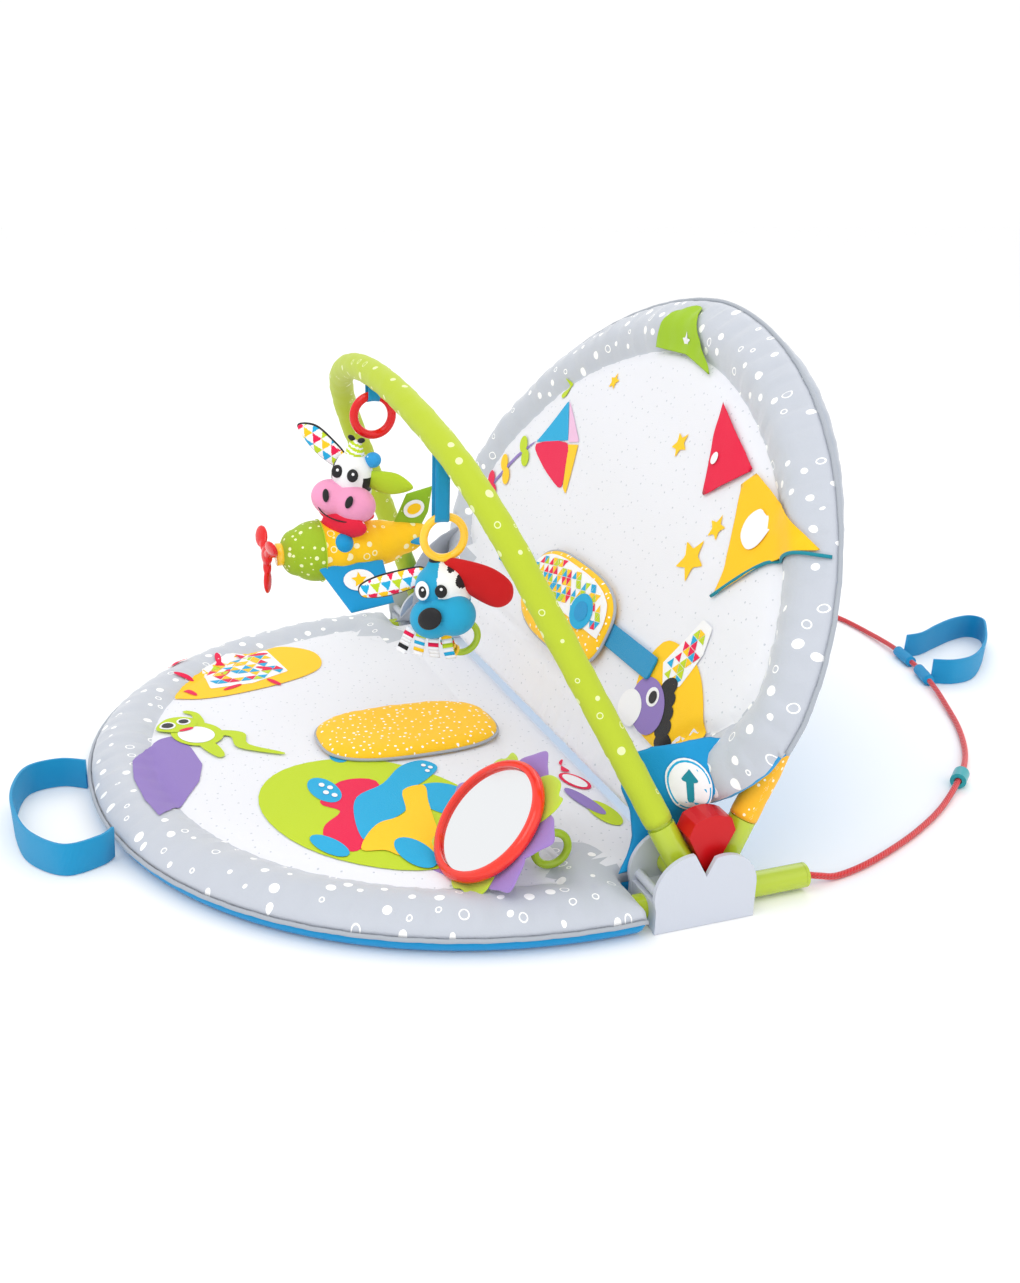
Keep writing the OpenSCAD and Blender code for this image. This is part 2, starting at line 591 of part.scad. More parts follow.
module puppy_ribbons() color("tomato") puppy_frame() difference() {
    for (k = [0 : 3]) translate([11 * k - 26, -10, 182 - 3 * (k % 2)]) cube([8, 2.5, 46]);
    translate([0, 0, 238]) sphere(r = 27 + free_gap);
    translate([0, -12, 224]) sphere(r = 22 + free_gap);
}
arm_pos = [puppy_x, puppy_y + 18, 195.4 + puppy_shift];
module rattle_arm() color("yellowgreen") translate(arm_pos) rotate([0, 90, 0]) torus(14, 3);
module rattle_rings() color("teal") translate(arm_pos) rotate([0, 90, 0]) for (a = [-80, -55, -30])
    rotate([0, 0, a]) translate([14, 0, 0]) rotate([90, 0, 0]) translate([0, 0, -1.1]) difference() {
        cylinder(r = 6, h = 2.2);
        translate([0, 0, -1]) cylinder(r = 3.6, h = 6);
    }

// Mirror toy on the floor mat
module mirror_plane() translate(mirror_pos) rotate(mirror_tilt) children();
module above_mat() intersection() {
    children();
    translate([0, -400, mat_top + free_gap]) cube([500, 500, 400]);
}
module mirror_rim() color("orangered") above_mat() mirror_plane() difference() {
    torus(mirror_rim_r, rim_r);
    translate([0, 0, -10]) cylinder(r = mirror_rim_r - 2.5, h = 20);
}
module mirror_glass() color("silver") mirror_plane() translate([0, 0, -1.5]) cylinder(r = mirror_rim_r - 2.8, h = 3);
module mirror_petals() color("mediumpurple") above_mat() mirror_plane()
    translate([0, 0, -rim_r - free_gap - 3]) linear_extrude(3) polygon(petals(56, 76, 9));
module mirror_backing() color("plum") above_mat() mirror_plane()
    translate([0, 0, -rim_r - 2 * free_gap - 17]) cylinder(r = 50, h = 14);
module mirror_ring() color("yellowgreen") translate([287, -96, mat_top + 19]) rotate([0, 90, 0]) torus(15, 3.5);

base_tube();
base_sleeve();
floor_mat();
mat_underside();
mat_piping();
hub_outer_left();
hub_inner_left();
hub_outer_right();
hub_inner_right();
pivot_pins();
hub_screws();
stub_caps();
side_wall_left();
side_wall_right();
front_handle();
crotch_pad();
mirror_backing();
mirror_petals();
mirror_rim();
mirror_glass();
mirror_ring();
cord();
cord_stopper();
rear_handle();
lock_wedge_left();
lock_wedge_right();
back_tube();
back_foot_left();
back_foot_right();
back_sleeve();
leg_cover_left();
leg_cover_right();
backrest_pad();
backrest_piping();
pennant_green();
pennant_red();
pennant_yellow();
waist_panel();
waist_strap_left();
waist_strap_right();
arch_tube();
arch_foot_left();
arch_foot_right();
arch_sleeve();
plane_loop();
puppy_strap();
plane_ring();
calf_head();
calf_bandana();
plane_body();
plane_wings();
plane_tail();
propeller();
puppy_ring();
puppy_head();
puppy_ears();
puppy_ribbons();
rattle_arm();
rattle_rings();
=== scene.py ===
"""Looks of the reclining play mat: padding, covers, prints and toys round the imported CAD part."""

import math
import random

import bmesh
import bpy
import numpy as np
from mathutils import Matrix, Vector
from mathutils.geometry import delaunay_2d_cdt


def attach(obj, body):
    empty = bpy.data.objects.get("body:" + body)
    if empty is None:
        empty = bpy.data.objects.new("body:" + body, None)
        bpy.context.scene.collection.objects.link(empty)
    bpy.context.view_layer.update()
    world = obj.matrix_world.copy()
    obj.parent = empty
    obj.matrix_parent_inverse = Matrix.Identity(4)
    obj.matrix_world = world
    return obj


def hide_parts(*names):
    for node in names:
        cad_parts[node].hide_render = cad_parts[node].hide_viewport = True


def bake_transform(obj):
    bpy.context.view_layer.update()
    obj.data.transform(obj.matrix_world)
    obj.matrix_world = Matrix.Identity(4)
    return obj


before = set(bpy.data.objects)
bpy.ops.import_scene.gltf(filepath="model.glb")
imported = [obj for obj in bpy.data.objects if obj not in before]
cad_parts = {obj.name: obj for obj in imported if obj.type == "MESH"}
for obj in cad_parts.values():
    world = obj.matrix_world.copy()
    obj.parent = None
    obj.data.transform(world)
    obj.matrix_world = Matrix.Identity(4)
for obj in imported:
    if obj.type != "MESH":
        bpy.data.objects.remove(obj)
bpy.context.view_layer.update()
scene = bpy.context.scene
random.seed(4)


def turned(axis, degrees):
    return Matrix.Rotation(math.radians(degrees), 4, axis)


# ---------------------------------------------------------------- camera
def make_camera():
    data = bpy.data.cameras.new("camera")
    data.lens, data.sensor_width = 38.87, 36
    data.clip_start, data.clip_end = 0.05, 60
    cam = bpy.data.objects.new("camera", data)
    scene.collection.objects.link(cam)
    aim = turned("Z", 67.64) @ turned("X", 90 - 21.27) @ turned("Z", 1.89)
    cam.matrix_world = Matrix.Translation((1.210, -0.519, 0.628)) @ aim
    scene.camera = cam


make_camera()


# ---------------------------------------------------------------- materials
def linear(code):
    """A hex colour as linear RGBA."""
    parts = [int(code[i : i + 2], 16) / 255 for i in (0, 2, 4)]
    return [c / 12.92 if c <= 0.04045 else ((c + 0.055) / 1.055) ** 2.4 for c in parts] + [1]


def material(name, colour, rough=0.5, **extra):
    m = bpy.data.materials.new(name)
    m.use_nodes = True
    shader = m.node_tree.nodes["Principled BSDF"]
    shader.inputs["Base Color"].default_value = linear(colour)
    shader.inputs["Roughness"].default_value = rough
    for key, value in extra.items():
        shader.inputs[key.replace("_", " ")].default_value = value
    return m


def maths(tree, kind, a, b=0.5):
    node = tree.nodes.new("ShaderNodeMath")
    node.operation = kind
    for socket, value in zip(node.inputs, (a, b)):
        if isinstance(value, (int, float)):
            socket.default_value = value
        else:
            tree.links.new(value, socket)
    return node.outputs[0]


def place_of(tree, flat):
    """The pattern's place: the UV map in metres, or the object's own space."""
    kind = "ShaderNodeUVMap" if flat else "ShaderNodeTexCoord"
    node = tree.nodes.new(kind)
    return node.outputs["UV" if flat else "Object"]


def add_dots(m, spacing, size, colour="FFFFFF", rings=0.4, share=0.8, flat=True):
    """Scattered dots, some of them as rings."""
    tree = m.node_tree
    cells = tree.nodes.new("ShaderNodeTexVoronoi")
    cells.voronoi_dimensions = "2D" if flat else "3D"
    cells.inputs["Scale"].default_value = 1 / spacing
    cells.inputs["Randomness"].default_value = 0.75
    tree.links.new(place_of(tree, flat), cells.inputs["Vector"])
    split = tree.nodes.new("ShaderNodeSeparateColor")
    tree.links.new(cells.outputs["Color"], split.inputs[0])
    red, green, blue = split.outputs
    away = cells.outputs["Distance"]
    reach = maths(tree, "ADD", maths(tree, "MULTIPLY", red, 0.55 * size / spacing), 0.45 * size / spacing)
    disc = maths(tree, "LESS_THAN", away, reach)
    hole = maths(tree, "LESS_THAN", away, maths(tree, "SUBTRACT", reach, 0.24 * size / spacing))
    hole = maths(tree, "MULTIPLY", hole, maths(tree, "LESS_THAN", green, rings))
    mask = maths(tree, "SUBTRACT", disc, hole)
    mask = maths(tree, "MULTIPLY", mask, maths(tree, "LESS_THAN", blue, share))
    mix = tree.nodes.new("ShaderNodeMix")
    mix.data_type = "RGBA"
    shader = tree.nodes["Principled BSDF"]
    tree.links.new(mask, mix.inputs["Factor"])
    mix.inputs["A"].default_value = shader.inputs["Base Color"].default_value
    mix.inputs["B"].default_value = linear(colour)
    tree.links.new(mix.outputs["Result"], shader.inputs["Base Color"])
    return m


def add_grain(m, scale, depth, kind="noise"):
    """Fine relief: cloth grain, or the ribs of webbing and cord."""
    tree = m.node_tree
    if kind == "noise":
        grain = tree.nodes.new("ShaderNodeTexNoise")
        grain.inputs["Scale"].default_value = scale
        grain.inputs["Detail"].default_value = 3
        tree.links.new(place_of(tree, False), grain.inputs["Vector"])
        height = grain.outputs[0]
    else:
        grain = tree.nodes.new("ShaderNodeTexWave")
        grain.inputs["Scale"].default_value = scale
        grain.bands_direction = "DIAGONAL" if kind == "braid" else "X"
        tree.links.new(place_of(tree, True), grain.inputs["Vector"])
        height = grain.outputs[1]
    bump = tree.nodes.new("ShaderNodeBump")
    bump.inputs["Strength"].default_value = 0.6
    bump.inputs["Distance"].default_value = depth
    tree.links.new(height, bump.inputs["Height"])
    tree.links.new(bump.outputs[0], tree.nodes["Principled BSDF"].inputs["Normal"])
    return m


def cloth(name, colour, rough=0.75, sheen=0.12):
    m = material(name, colour, rough, Sheen_Weight=sheen, Specular_IOR_Level=0.3)
    return add_grain(m, 900, 0.0004)


SATIN = add_dots(cloth("satin_grey", "BFC4CE", 0.42, 0.4), 0.021, 0.0045)
SATIN_PLAIN = cloth("satin_plain", "AEB4BE", 0.45, 0.4)
PIPING = cloth("piping_silver", "A9AFB8", 0.5)
WHITE = add_dots(cloth("mat_white", "E9EAF1", 0.7), 0.012, 0.0011, "C9CDD6", 0, 0.7)
BLUE = cloth("cover_blue", "0093CF", 0.6)
SLEEVE = add_dots(cloth("sleeve_lime", "B7C92C", 0.6, 0.12), 0.019, 0.0036, "E4EDB0", 0.4, 0.62)
COVER = add_dots(cloth("cover_yellow", "FBB81F", 0.6), 0.009, 0.0016, "FFF6D8", 0, 0.8)
SAND = add_dots(cloth("harness_yellow", "FFC81E", 0.7), 0.008, 0.0015, "FFFFFF", 0, 0.7)
LIME = cloth("print_lime", "BFD61E")
PURPLE = cloth("print_purple", "9079BE")
YELLOW = cloth("print_yellow", "FFCB14")
CRIMSON = cloth("print_crimson", "E80A4A")
CYAN = cloth("print_cyan", "12A9DB")
LILAC = cloth("print_lilac", "EDBFE0")
BLANK = cloth("print_white", "F3F3F6")
BLACK = cloth("print_black", "16161A", 0.5)
TEAL = cloth("print_teal", "16889B")
PINK = cloth("plush_pink", "F09CC4", 0.8, 0.15)
PLUSH_WHITE = cloth("plush_white", "F2F2F4", 0.8, 0.15)
PLUSH_BLUE = cloth("plush_blue", "1F9FCB", 0.8, 0.15)
PLUSH_LIME = cloth("plush_lime", "B3CD28", 0.8, 0.15)
PLUSH_RED = add_grain(cloth("corduroy_red", "D80A12", 0.7, 0.12), 420, 0.0006, "ribs")
BANDANA = add_dots(cloth("bandana_red", "E2173B", 0.7), 0.012, 0.0028, "FFD6DC", 0, 0.8, False)
PLANE_YELLOW = add_dots(cloth("plane_yellow", "FFC90F", 0.7), 0.010, 0.0036, "FFF3C0", 0.3, 0.8, False)
PLANE_GREEN = add_dots(cloth("plane_green", "9CBB1F", 0.7), 0.006, 0.0022, "F0F8C0", 0, 0.9, False)
FIN_GREEN = add_dots(cloth("fin_green", "8DB81F", 0.7), 0.006, 0.0012, "E6F2A8", 0, 0.8, False)
HORN_BLUE = add_dots(cloth("horn_blue", "2D9BDC", 0.7), 0.005, 0.001, "BFE4FF", 0, 0.8, False)
WEBBING = add_grain(cloth("webbing_blue", "0F9BD2", 0.6), 330, 0.0008, "ribs")
CORD = add_grain(material("cord_red", "DE1019", 0.45, Sheen_Weight=0.3), 160, 0.0012, "braid")
PETALS = [cloth("petal_purple", "9C7CC4", 0.9, 0.5), cloth("petal_lime", "BBD43A", 0.9, 0.5)]
TUBE = material("tube_lime", "B4C82A", 0.22, Coat_Weight=0.4)
HUB = add_grain(material("hub_grey", "C9CED9", 0.42), 260, 0.0002)
STEEL = material("steel", "B8BCC2", 0.3, Metallic=1.0)
WEDGE = material("wedge_red", "C80A14", 0.35, Specular_IOR_Level=0.3)
RED_PLASTIC = material("plastic_red", "E00910", 0.2, Coat_Weight=0.15, Specular_IOR_Level=0.4)
GOLD_PLASTIC = material("plastic_yellow", "FFC928", 0.22, Coat_Weight=0.4)
LIME_PLASTIC = material("plastic_lime", "A6C420", 0.25, Coat_Weight=0.3)
TEAL_PLASTIC = material("plastic_teal", "189FA6", 0.3)
RIM = material("mirror_rim", "EC2A14", 0.16, Coat_Weight=0.25)
GLASS = material("mirror_face", "EEF0F2", 0.1, Metallic=1.0)


# ---------------------------------------------------------------- mesh helpers
def add_mesh(name, verts, faces, mats, face_mats=None, uv=None, smooth=True):
    mesh = bpy.data.meshes.new(name)
    mesh.from_pydata([tuple(map(float, v)) for v in verts], [], [tuple(map(int, f)) for f in faces])
    for m in mats:
        mesh.materials.append(m)
    if face_mats is not None:
        mesh.polygons.foreach_set("material_index", np.asarray(face_mats, np.int32))
    if uv is not None:
        loops = np.zeros(len(mesh.loops), np.int32)
        mesh.loops.foreach_get("vertex_index", loops)
        layer = mesh.uv_layers.new(name="flat")
        layer.data.foreach_set("uv", np.asarray(uv, np.float32)[loops].ravel())
    if smooth:
        mesh.shade_smooth()
    obj = bpy.data.objects.new(name, mesh)
    scene.collection.objects.link(obj)
    return obj


def waves(x, seed=0.0):
    """Smooth uneven ripples between about -1 and 1."""
    return (np.sin(x + seed) + 0.6 * np.sin(2.3 * x + 1.3 + seed) + 0.4 * np.sin(3.7 * x + 0.7)) / 2


def soft_lumps(p, scale, seed=0.0):
    x, y = p[:, 0] * scale, p[:, 1] * scale
    return (np.sin(x + 1.7 * y + seed) + np.sin(1.9 * x - y + 2 + seed) + np.sin(0.7 * x + 2.9 * y)) / 3


def spline(points, steps, closed=False):
    """A Catmull-Rom curve through the points."""
    p = [np.array(x, float) for x in points]
    n = len(p)
    out = []
    for i in range(n if closed else n - 1):
        near = [i - 1, i, i + 1, i + 2]
        near = [k % n if closed else min(max(k, 0), n - 1) for k in near]
        a, b, c, d = (p[k] for k in near)
        for k in range(steps):
            t = k / steps
            cubic = (2 * a - 5 * b + 4 * c - d) * t**2 + (3 * b - a - 3 * c + d) * t**3
            out.append(0.5 * (2 * b + (c - a) * t + cubic))
    if not closed:
        out.append(p[-1])
    return np.array(out)


def resampled(points, step, closed=True):
    """The same line with even spacing."""
    p = np.array(points, float)
    if closed:
        p = np.vstack([p, p[:1]])
    run = np.concatenate([[0], np.cumsum(np.linalg.norm(np.diff(p, axis=0), axis=1))])
    count = max(3, int(round(run[-1] / step)))
    at = np.linspace(0, run[-1], count + 1)[: -1 if closed else None]
    return np.stack([np.interp(at, run, p[:, k]) for k in range(p.shape[1])], 1)


def superellipse(a, b, n, count=360):
    t = np.linspace(0, 2 * math.pi, count, endpoint=False)
    c, s = np.cos(t), np.sin(t)
    return np.stack([a * np.sign(c) * abs(c) ** (2 / n), b * np.sign(s) * abs(s) ** (2 / n)], 1)


def ellipse(cx, cy, a, b, turn=0, count=40):
    t = np.linspace(0, 2 * math.pi, count, endpoint=False)
    c, s = math.cos(math.radians(turn)), math.sin(math.radians(turn))
    x, y = a * np.cos(t), b * np.sin(t)
    return np.stack([cx + c * x - s * y, cy + s * x + c * y], 1)


def inside(p, outline):
    a, b = outline, np.roll(outline, -1, axis=0)
    x, y = p[:, 0][:, None], p[:, 1][:, None]
    crosses = (a[:, 1] > y) != (b[:, 1] > y)
    slope = np.where(b[:, 1] == a[:, 1], 1e-12, b[:, 1] - a[:, 1])
    at = a[:, 0] + (y - a[:, 1]) * (b[:, 0] - a[:, 0]) / slope
    return (crosses & (x < at)).sum(1) % 2 == 1


def edge_of(p, outline):
    """Each point's distance to the outline, and how far along the outline that is."""
    a, b = outline, np.roll(outline, -1, axis=0)
    along = b - a
    length = np.linalg.norm(along, axis=1)
    start = np.concatenate([[0], np.cumsum(length)[:-1]])
    best, where = np.full(len(p), 1e9), np.zeros(len(p))
    for i in range(len(a)):
        t = np.clip(((p - a[i]) @ along[i]) / max(length[i] ** 2, 1e-15), 0, 1)
        d = np.linalg.norm(p - a[i] - t[:, None] * along[i], axis=1)
        nearer = d < best
        best[nearer], where[nearer] = d[nearer], start[i] + t[nearer] * length[i]
    return best, where


def fill(outline, step, rings=()):
    """Triangles inside an outline, with rows of points that follow its edge."""
    outline = np.asarray(outline, float)
    area = np.sum(outline[:, 0] * np.roll(outline[:, 1], -1) - np.roll(outline[:, 0], -1) * outline[:, 1])
    if area < 0:
        outline = outline[::-1]
    run = np.roll(outline, -1, axis=0) - np.roll(outline, 1, axis=0)
    run /= np.linalg.norm(run, axis=1)[:, None] + 1e-12
    inward = np.stack([-run[:, 1], run[:, 0]], 1)
    groups = [outline]
    for r in rings:
        row = outline + inward * r
        keep = inside(row, outline) & (edge_of(row, outline)[0] > r * 0.97)
        groups.append(row[keep])
    lo, hi = outline.min(0), outline.max(0)
    xs, ys = np.arange(lo[0], hi[0], step), np.arange(lo[1], hi[1], step * 0.866)
    grid = np.array([(x + (k % 2) * step / 2, y) for k, y in enumerate(ys) for x in xs])
    if len(grid):
        grid = grid[inside(grid, outline)]
    if len(grid):
        grid = grid[edge_of(grid, outline)[0] > (max(rings) if rings else 0) + 0.6 * step]
        groups.append(grid)
    points = np.vstack(groups)
    n = len(outline)
    edges = [(i, (i + 1) % n) for i in range(n)]
    found = delaunay_2d_cdt([Vector(p) for p in points], edges, [list(range(n))], 1, 1e-9)
    flat = np.array([tuple(v) for v in found[0]])
    faces = np.array([f for f in found[2] if len(f) == 3])
    return flat, faces


def cushion(name, outline, top, bottom, place, mats, pick=None, step=0.006, rings=()):
    """A closed padded shape: a top and an underside that meet at the outline."""
    flat, faces = fill(outline, step, rings)
    d, s = edge_of(flat, np.asarray(outline, float))
    upper, lower = place(flat, top(flat, d, s)), place(flat, bottom(flat, d, s))
    rim = d < 1e-7
    number = np.arange(len(flat)) + len(flat)
    number[rim] = np.arange(len(flat))[rim]
    under = number[faces][:, ::-1]
    middle = flat[faces].mean(1)
    over = (pick(middle, edge_of(middle, np.asarray(outline, float))[0])
            if pick else np.zeros(len(faces), int))
    below = np.full(len(faces), len(mats) - 1 if pick else 0)
    solid = add_mesh(name, np.vstack([upper, lower]), np.vstack([faces, under]), mats,
                     np.concatenate([over, below]), np.vstack([flat, flat]))
    tidy = bmesh.new()
    tidy.from_mesh(solid.data)
    bmesh.ops.delete(tidy, geom=[v for v in tidy.verts if not v.link_faces], context="VERTS")
    bmesh.ops.recalc_face_normals(tidy, faces=tidy.faces)
    tidy.to_mesh(solid.data)
    tidy.free()
    return solid


def sweep(name, path, radius, mats, sides=20, closed=False, ripple=0.0, squeeze=1.0):
    """A tube along a path with UVs in metres; ripple is the depth of its creases."""
    p = np.array(path, float)
    n = len(p)
    ahead = np.roll(p, -1, axis=0) - np.roll(p, 1, axis=0)
    if not closed:
        ahead[0], ahead[-1] = p[1] - p[0], p[-1] - p[-2]
    ahead /= np.linalg.norm(ahead, axis=1)[:, None]
    side = np.cross(ahead[0], [0.0, 0.0, 1.0])
    if np.linalg.norm(side) < 0.1:
        side = np.cross(ahead[0], [0.0, 1.0, 0.0])
    run = np.concatenate([[0], np.cumsum(np.linalg.norm(np.diff(p, axis=0), axis=1))])
    verts, uv = [], []
    angle = np.linspace(0, 2 * math.pi, sides, endpoint=False)
    for i in range(n):
        side = side - ahead[i] * (side @ ahead[i])
        side /= np.linalg.norm(side)
        up = np.cross(ahead[i], side)
        crease = waves(np.full(sides, run[i] * 190) + 1.3 * np.sin(angle * 2 + run[i] * 30))
        r = radius + ripple * crease
        ring = p[i] + (r * np.cos(angle))[:, None] * side + (squeeze * r * np.sin(angle))[:, None] * up
        verts.append(ring)
        uv.append(np.stack([np.full(sides, run[i]), angle * radius], 1))
    faces = []
    for i in range(n if closed else n - 1):
        j = (i + 1) % n
        for k in range(sides):
            m = (k + 1) % sides
            faces.append((i * sides + k, i * sides + m, j * sides + m, j * sides + k))
    if not closed:
        faces.append(tuple(range(sides))[::-1])
        faces.append(tuple((n - 1) * sides + k for k in range(sides)))
    return add_mesh(name, np.vstack(verts), faces, mats, None, np.vstack(uv))


def joined(name, objs):
    """Several meshes as one piece."""
    objs = [o for o in objs if o]
    with bpy.context.temp_override(active_object=objs[0], selected_editable_objects=objs,
                                   selected_objects=objs, object=objs[0]):
        if len(objs) > 1:
            bpy.ops.object.join()
    objs[0].name = name
    return objs[0]


def baked(obj):
    """The object with its modifiers made final."""
    dg = bpy.context.evaluated_depsgraph_get()
    mesh = bpy.data.meshes.new_from_object(obj.evaluated_get(dg))
    obj.modifiers.clear()
    obj.data = mesh
    return obj


def stuffed(name, parts, mats, frame_at, pick=None, voxel=0.0013, rounds=8):
    """Plush: ellipsoids (centre, radii, turn) merged into one soft skin in a local frame."""
    bm = bmesh.new()
    for centre, radii, turn in parts:
        m = Matrix.Translation(centre) @ (turn or Matrix()) @ Matrix.Diagonal((*radii, 1))
        bmesh.ops.create_icosphere(bm, subdivisions=4, radius=1, matrix=m)
    mesh = bpy.data.meshes.new(name)
    bm.to_mesh(mesh)
    bm.free()
    obj = bpy.data.objects.new(name, mesh)
    scene.collection.objects.link(obj)
    skin = obj.modifiers.new("skin", "REMESH")
    skin.mode, skin.voxel_size, skin.use_smooth_shade = "VOXEL", voxel, True
    ease = obj.modifiers.new("ease", "SMOOTH")
    ease.factor, ease.iterations = 0.5, rounds
    baked(obj)
    for m in mats:
        obj.data.materials.append(m)
    if pick:
        centres = np.array([tuple(f.center) for f in obj.data.polygons])
        obj.data.polygons.foreach_set("material_index", pick(centres).astype(np.int32))
    obj.data.shade_smooth()
    obj.data.transform(frame_at)
    return obj


def disc(centre, facing, a, b, lift, mats, frame_at, turn=0, name="disc"):
    """A slightly domed patch, such as an eye or a nose, facing a direction."""
    bm = bmesh.new()
    aim = Vector(facing).to_track_quat("Z", "Y").to_matrix().to_4x4()
    m = frame_at @ Matrix.Translation(centre) @ aim @ turned("Z", turn) @ Matrix.Diagonal((a, b, lift, 1))
    bmesh.ops.create_uvsphere(bm, u_segments=28, v_segments=14, radius=1, matrix=m)
    mesh = bpy.data.meshes.new(name)
    bm.to_mesh(mesh)
    bm.free()
    mesh.materials.append(mats[0])
    mesh.shade_smooth()
    obj = bpy.data.objects.new(name, mesh)
    scene.collection.objects.link(obj)
    return obj


# ---------------------------------------------------------------- planes and main outlines
BACK_LEAN, ARCH_LEAN = math.radians(24.5), math.radians(24.7)


def flat_floor(p, h):
    return np.stack([p[:, 0], p[:, 1], h], 1)


def on_back(p, o):
    """Points (x, s) of the backrest's plane, o metres in front of its tube, in the row frame."""
    s = p[:, 1]
    y = 0.034 + s * math.sin(BACK_LEAN) - o * math.cos(BACK_LEAN)
    return np.stack([p[:, 0], y, 0.0385 + s * math.cos(BACK_LEAN) + o * math.sin(BACK_LEAN)], 1)


def mat_line():
    oval = superellipse(0.366, 0.388, 2.12, 720) + [0, -0.048]
    front = oval[oval[:, 1] < -0.043]
    front = front[np.argsort(np.arctan2(front[:, 1] + 0.043, front[:, 0]))]
    rear = [(0.366, -0.043), (0.309, -0.043), (0.305, -0.038), (0.305, 0.004), (0.301, 0.008)]
    rear += [(-0.301, 0.008), (-0.305, 0.004), (-0.305, -0.038), (-0.309, -0.043), (-0.366, -0.043)]
    return resampled(np.vstack([front, rear]), 0.005)


def back_line():
    oval = superellipse(0.381, 0.303, 1.81, 720) + [0, 0.138]
    upper = oval[(oval[:, 1] > 0.113)]
    upper = upper[np.argsort(np.arctan2(upper[:, 1] - 0.113, upper[:, 0]))]
    side = [(0.374, 0.113), (0.370, 0.096), (0.358, 0.078), (0.341, 0.059), (0.322, 0.043), (0.306, 0.038)]
    side += [(0.305, -0.006), (0.301, -0.010)]
    lower = [(-x, s) for x, s in side] + side[::-1]
    return resampled(np.vstack([upper, lower]), 0.005)


MAT_LINE, BACK_LINE = mat_line(), back_line()
RINGS = (0.0012, 0.0035, 0.007, 0.012, 0.018, 0.025, 0.033, 0.042, 0.050, 0.0545, 0.057, 0.0595, 0.064)
BORDER = 0.0570
PRINT_LIFT = 0.0007


def bell(d, middle, width):
    return np.exp(-(((d - middle) / width) ** 2))


def rounded(d, width):
    return np.sqrt(1 - (1 - np.clip(d / width, 0, 1)) ** 2)


def mat_top(p, d, s):
    edge = np.clip((-0.035 - p[:, 1]) / 0.025, 0, 1)
    h = 0.0155 + 0.0155 * rounded(d, 0.006 + 0.022 * edge)
    h += edge * (0.0045 * bell(d, 0.030, 0.017) - 0.0035 * bell(d, BORDER, 0.006))
    h += edge * 0.0017 * waves(s * 230) * bell(d, 0.011, 0.011)
    h += edge * 0.0012 * waves(s * 205, 2) * bell(d, BORDER - 0.007, 0.010)
    h += edge * 0.0013 * waves(s * 62, 1) * bell(d, 0.030, 0.020)
    return h + 0.0009 * soft_lumps(p, 21) * (1 - bell(d, 0, 0.03))


def mat_side(p, d, s):
    return 0.0148 - 0.0140 * rounded(d, 0.010)


def back_front(p, d, s):
    edge = np.clip((p[:, 1] - 0.025) / 0.025 + np.clip((abs(p[:, 0]) - 0.26) / 0.02, 0, 1), 0, 1)
    h = 0.0240 + 0.0115 * rounded(d, 0.006 + 0.024 * edge)
    h += edge * (0.0085 * bell(d, 0.030, 0.017) - 0.0050 * bell(d, BORDER, 0.006))
    h += (0.0019 * waves(s * 215, 1) * bell(d, 0.012, 0.012)
          + 0.0016 * waves(s * 190, 4) * bell(d, 0.049, 0.011))
    h += 0.0018 * waves(s * 58, 2) * bell(d, 0.030, 0.022)
    return h + 0.0013 * soft_lumps(p, 19, 1) * (1 - bell(d, 0, 0.03))


def back_rear(p, d, s):
    return 0.0230 - 0.0095 * rounded(d, 0.026) + 0.0008 * waves(s * 110, 3) * bell(d, 0.012, 0.015)


def mat_at(p, lift=0.0):
    p = np.atleast_2d(np.asarray(p, float))
    return flat_floor(p, mat_top(p, *edge_of(p, MAT_LINE)) + lift)


def back_at(p, lift=0.0):
    p = np.atleast_2d(np.asarray(p, float))
    return on_back(p, back_front(p, *edge_of(p, BACK_LINE)) + lift)


def printed(surface, outline, mat, layer=1, step=0.006):
    """A flat printed shape that follows a padded surface."""
    outline = np.asarray(outline, float)
    size = np.ptp(outline, axis=0).max()
    line = resampled(outline, min(0.004, size / 8))
    flat, faces = fill(line, min(step, max(size / 5, 0.002)))
    return add_mesh("print", surface(flat, PRINT_LIFT + 0.0003 * layer), faces, [mat], None, flat)


def triangles(surface, outline, size, layer, palette, tilt=0.0, share=0.62):
    """A band of small coloured triangles inside an outline."""
    outline = np.asarray(outline, float)
    lo, hi = outline.min(0) - size, outline.max(0) + size
    turn = np.array([[math.cos(tilt), -math.sin(tilt)], [math.sin(tilt), math.cos(tilt)]])
    middle = outline.mean(0)
    verts, faces, kinds = [], [], []
    reach = int(np.ptp(np.vstack([lo, hi]), axis=0).max() / size) + 2
    for i in range(-reach, reach):
        for j in range(-reach, reach):
            for flip in (0, 1):
                x, y = (i + 0.5 * (j % 2)) * size, j * size * 0.866
                tri = [(x, y), (x + size, y), (x + size / 2, y + size * 0.866)]
                if flip:
                    tri = [(x + size, y), (x + 1.5 * size, y + size * 0.866),
                           (x + size / 2, y + size * 0.866)]
                tri = np.array(tri) @ turn.T + middle
                if inside(tri * 0.94 + tri.mean(0) * 0.06, outline).all() and random.random() < share:
                    faces.append([len(verts) + k for k in range(3)])
                    verts.extend(tri * 0.9 + tri.mean(0) * 0.1)
                    kinds.append(random.randrange(len(palette)))
    if not faces:
        return None
    verts = np.array(verts)
    return add_mesh("triangles", surface(verts, PRINT_LIFT + 0.0003 * layer), faces, palette, kinds, verts)


BRIGHTS = [CRIMSON, CYAN, YELLOW, LIME]


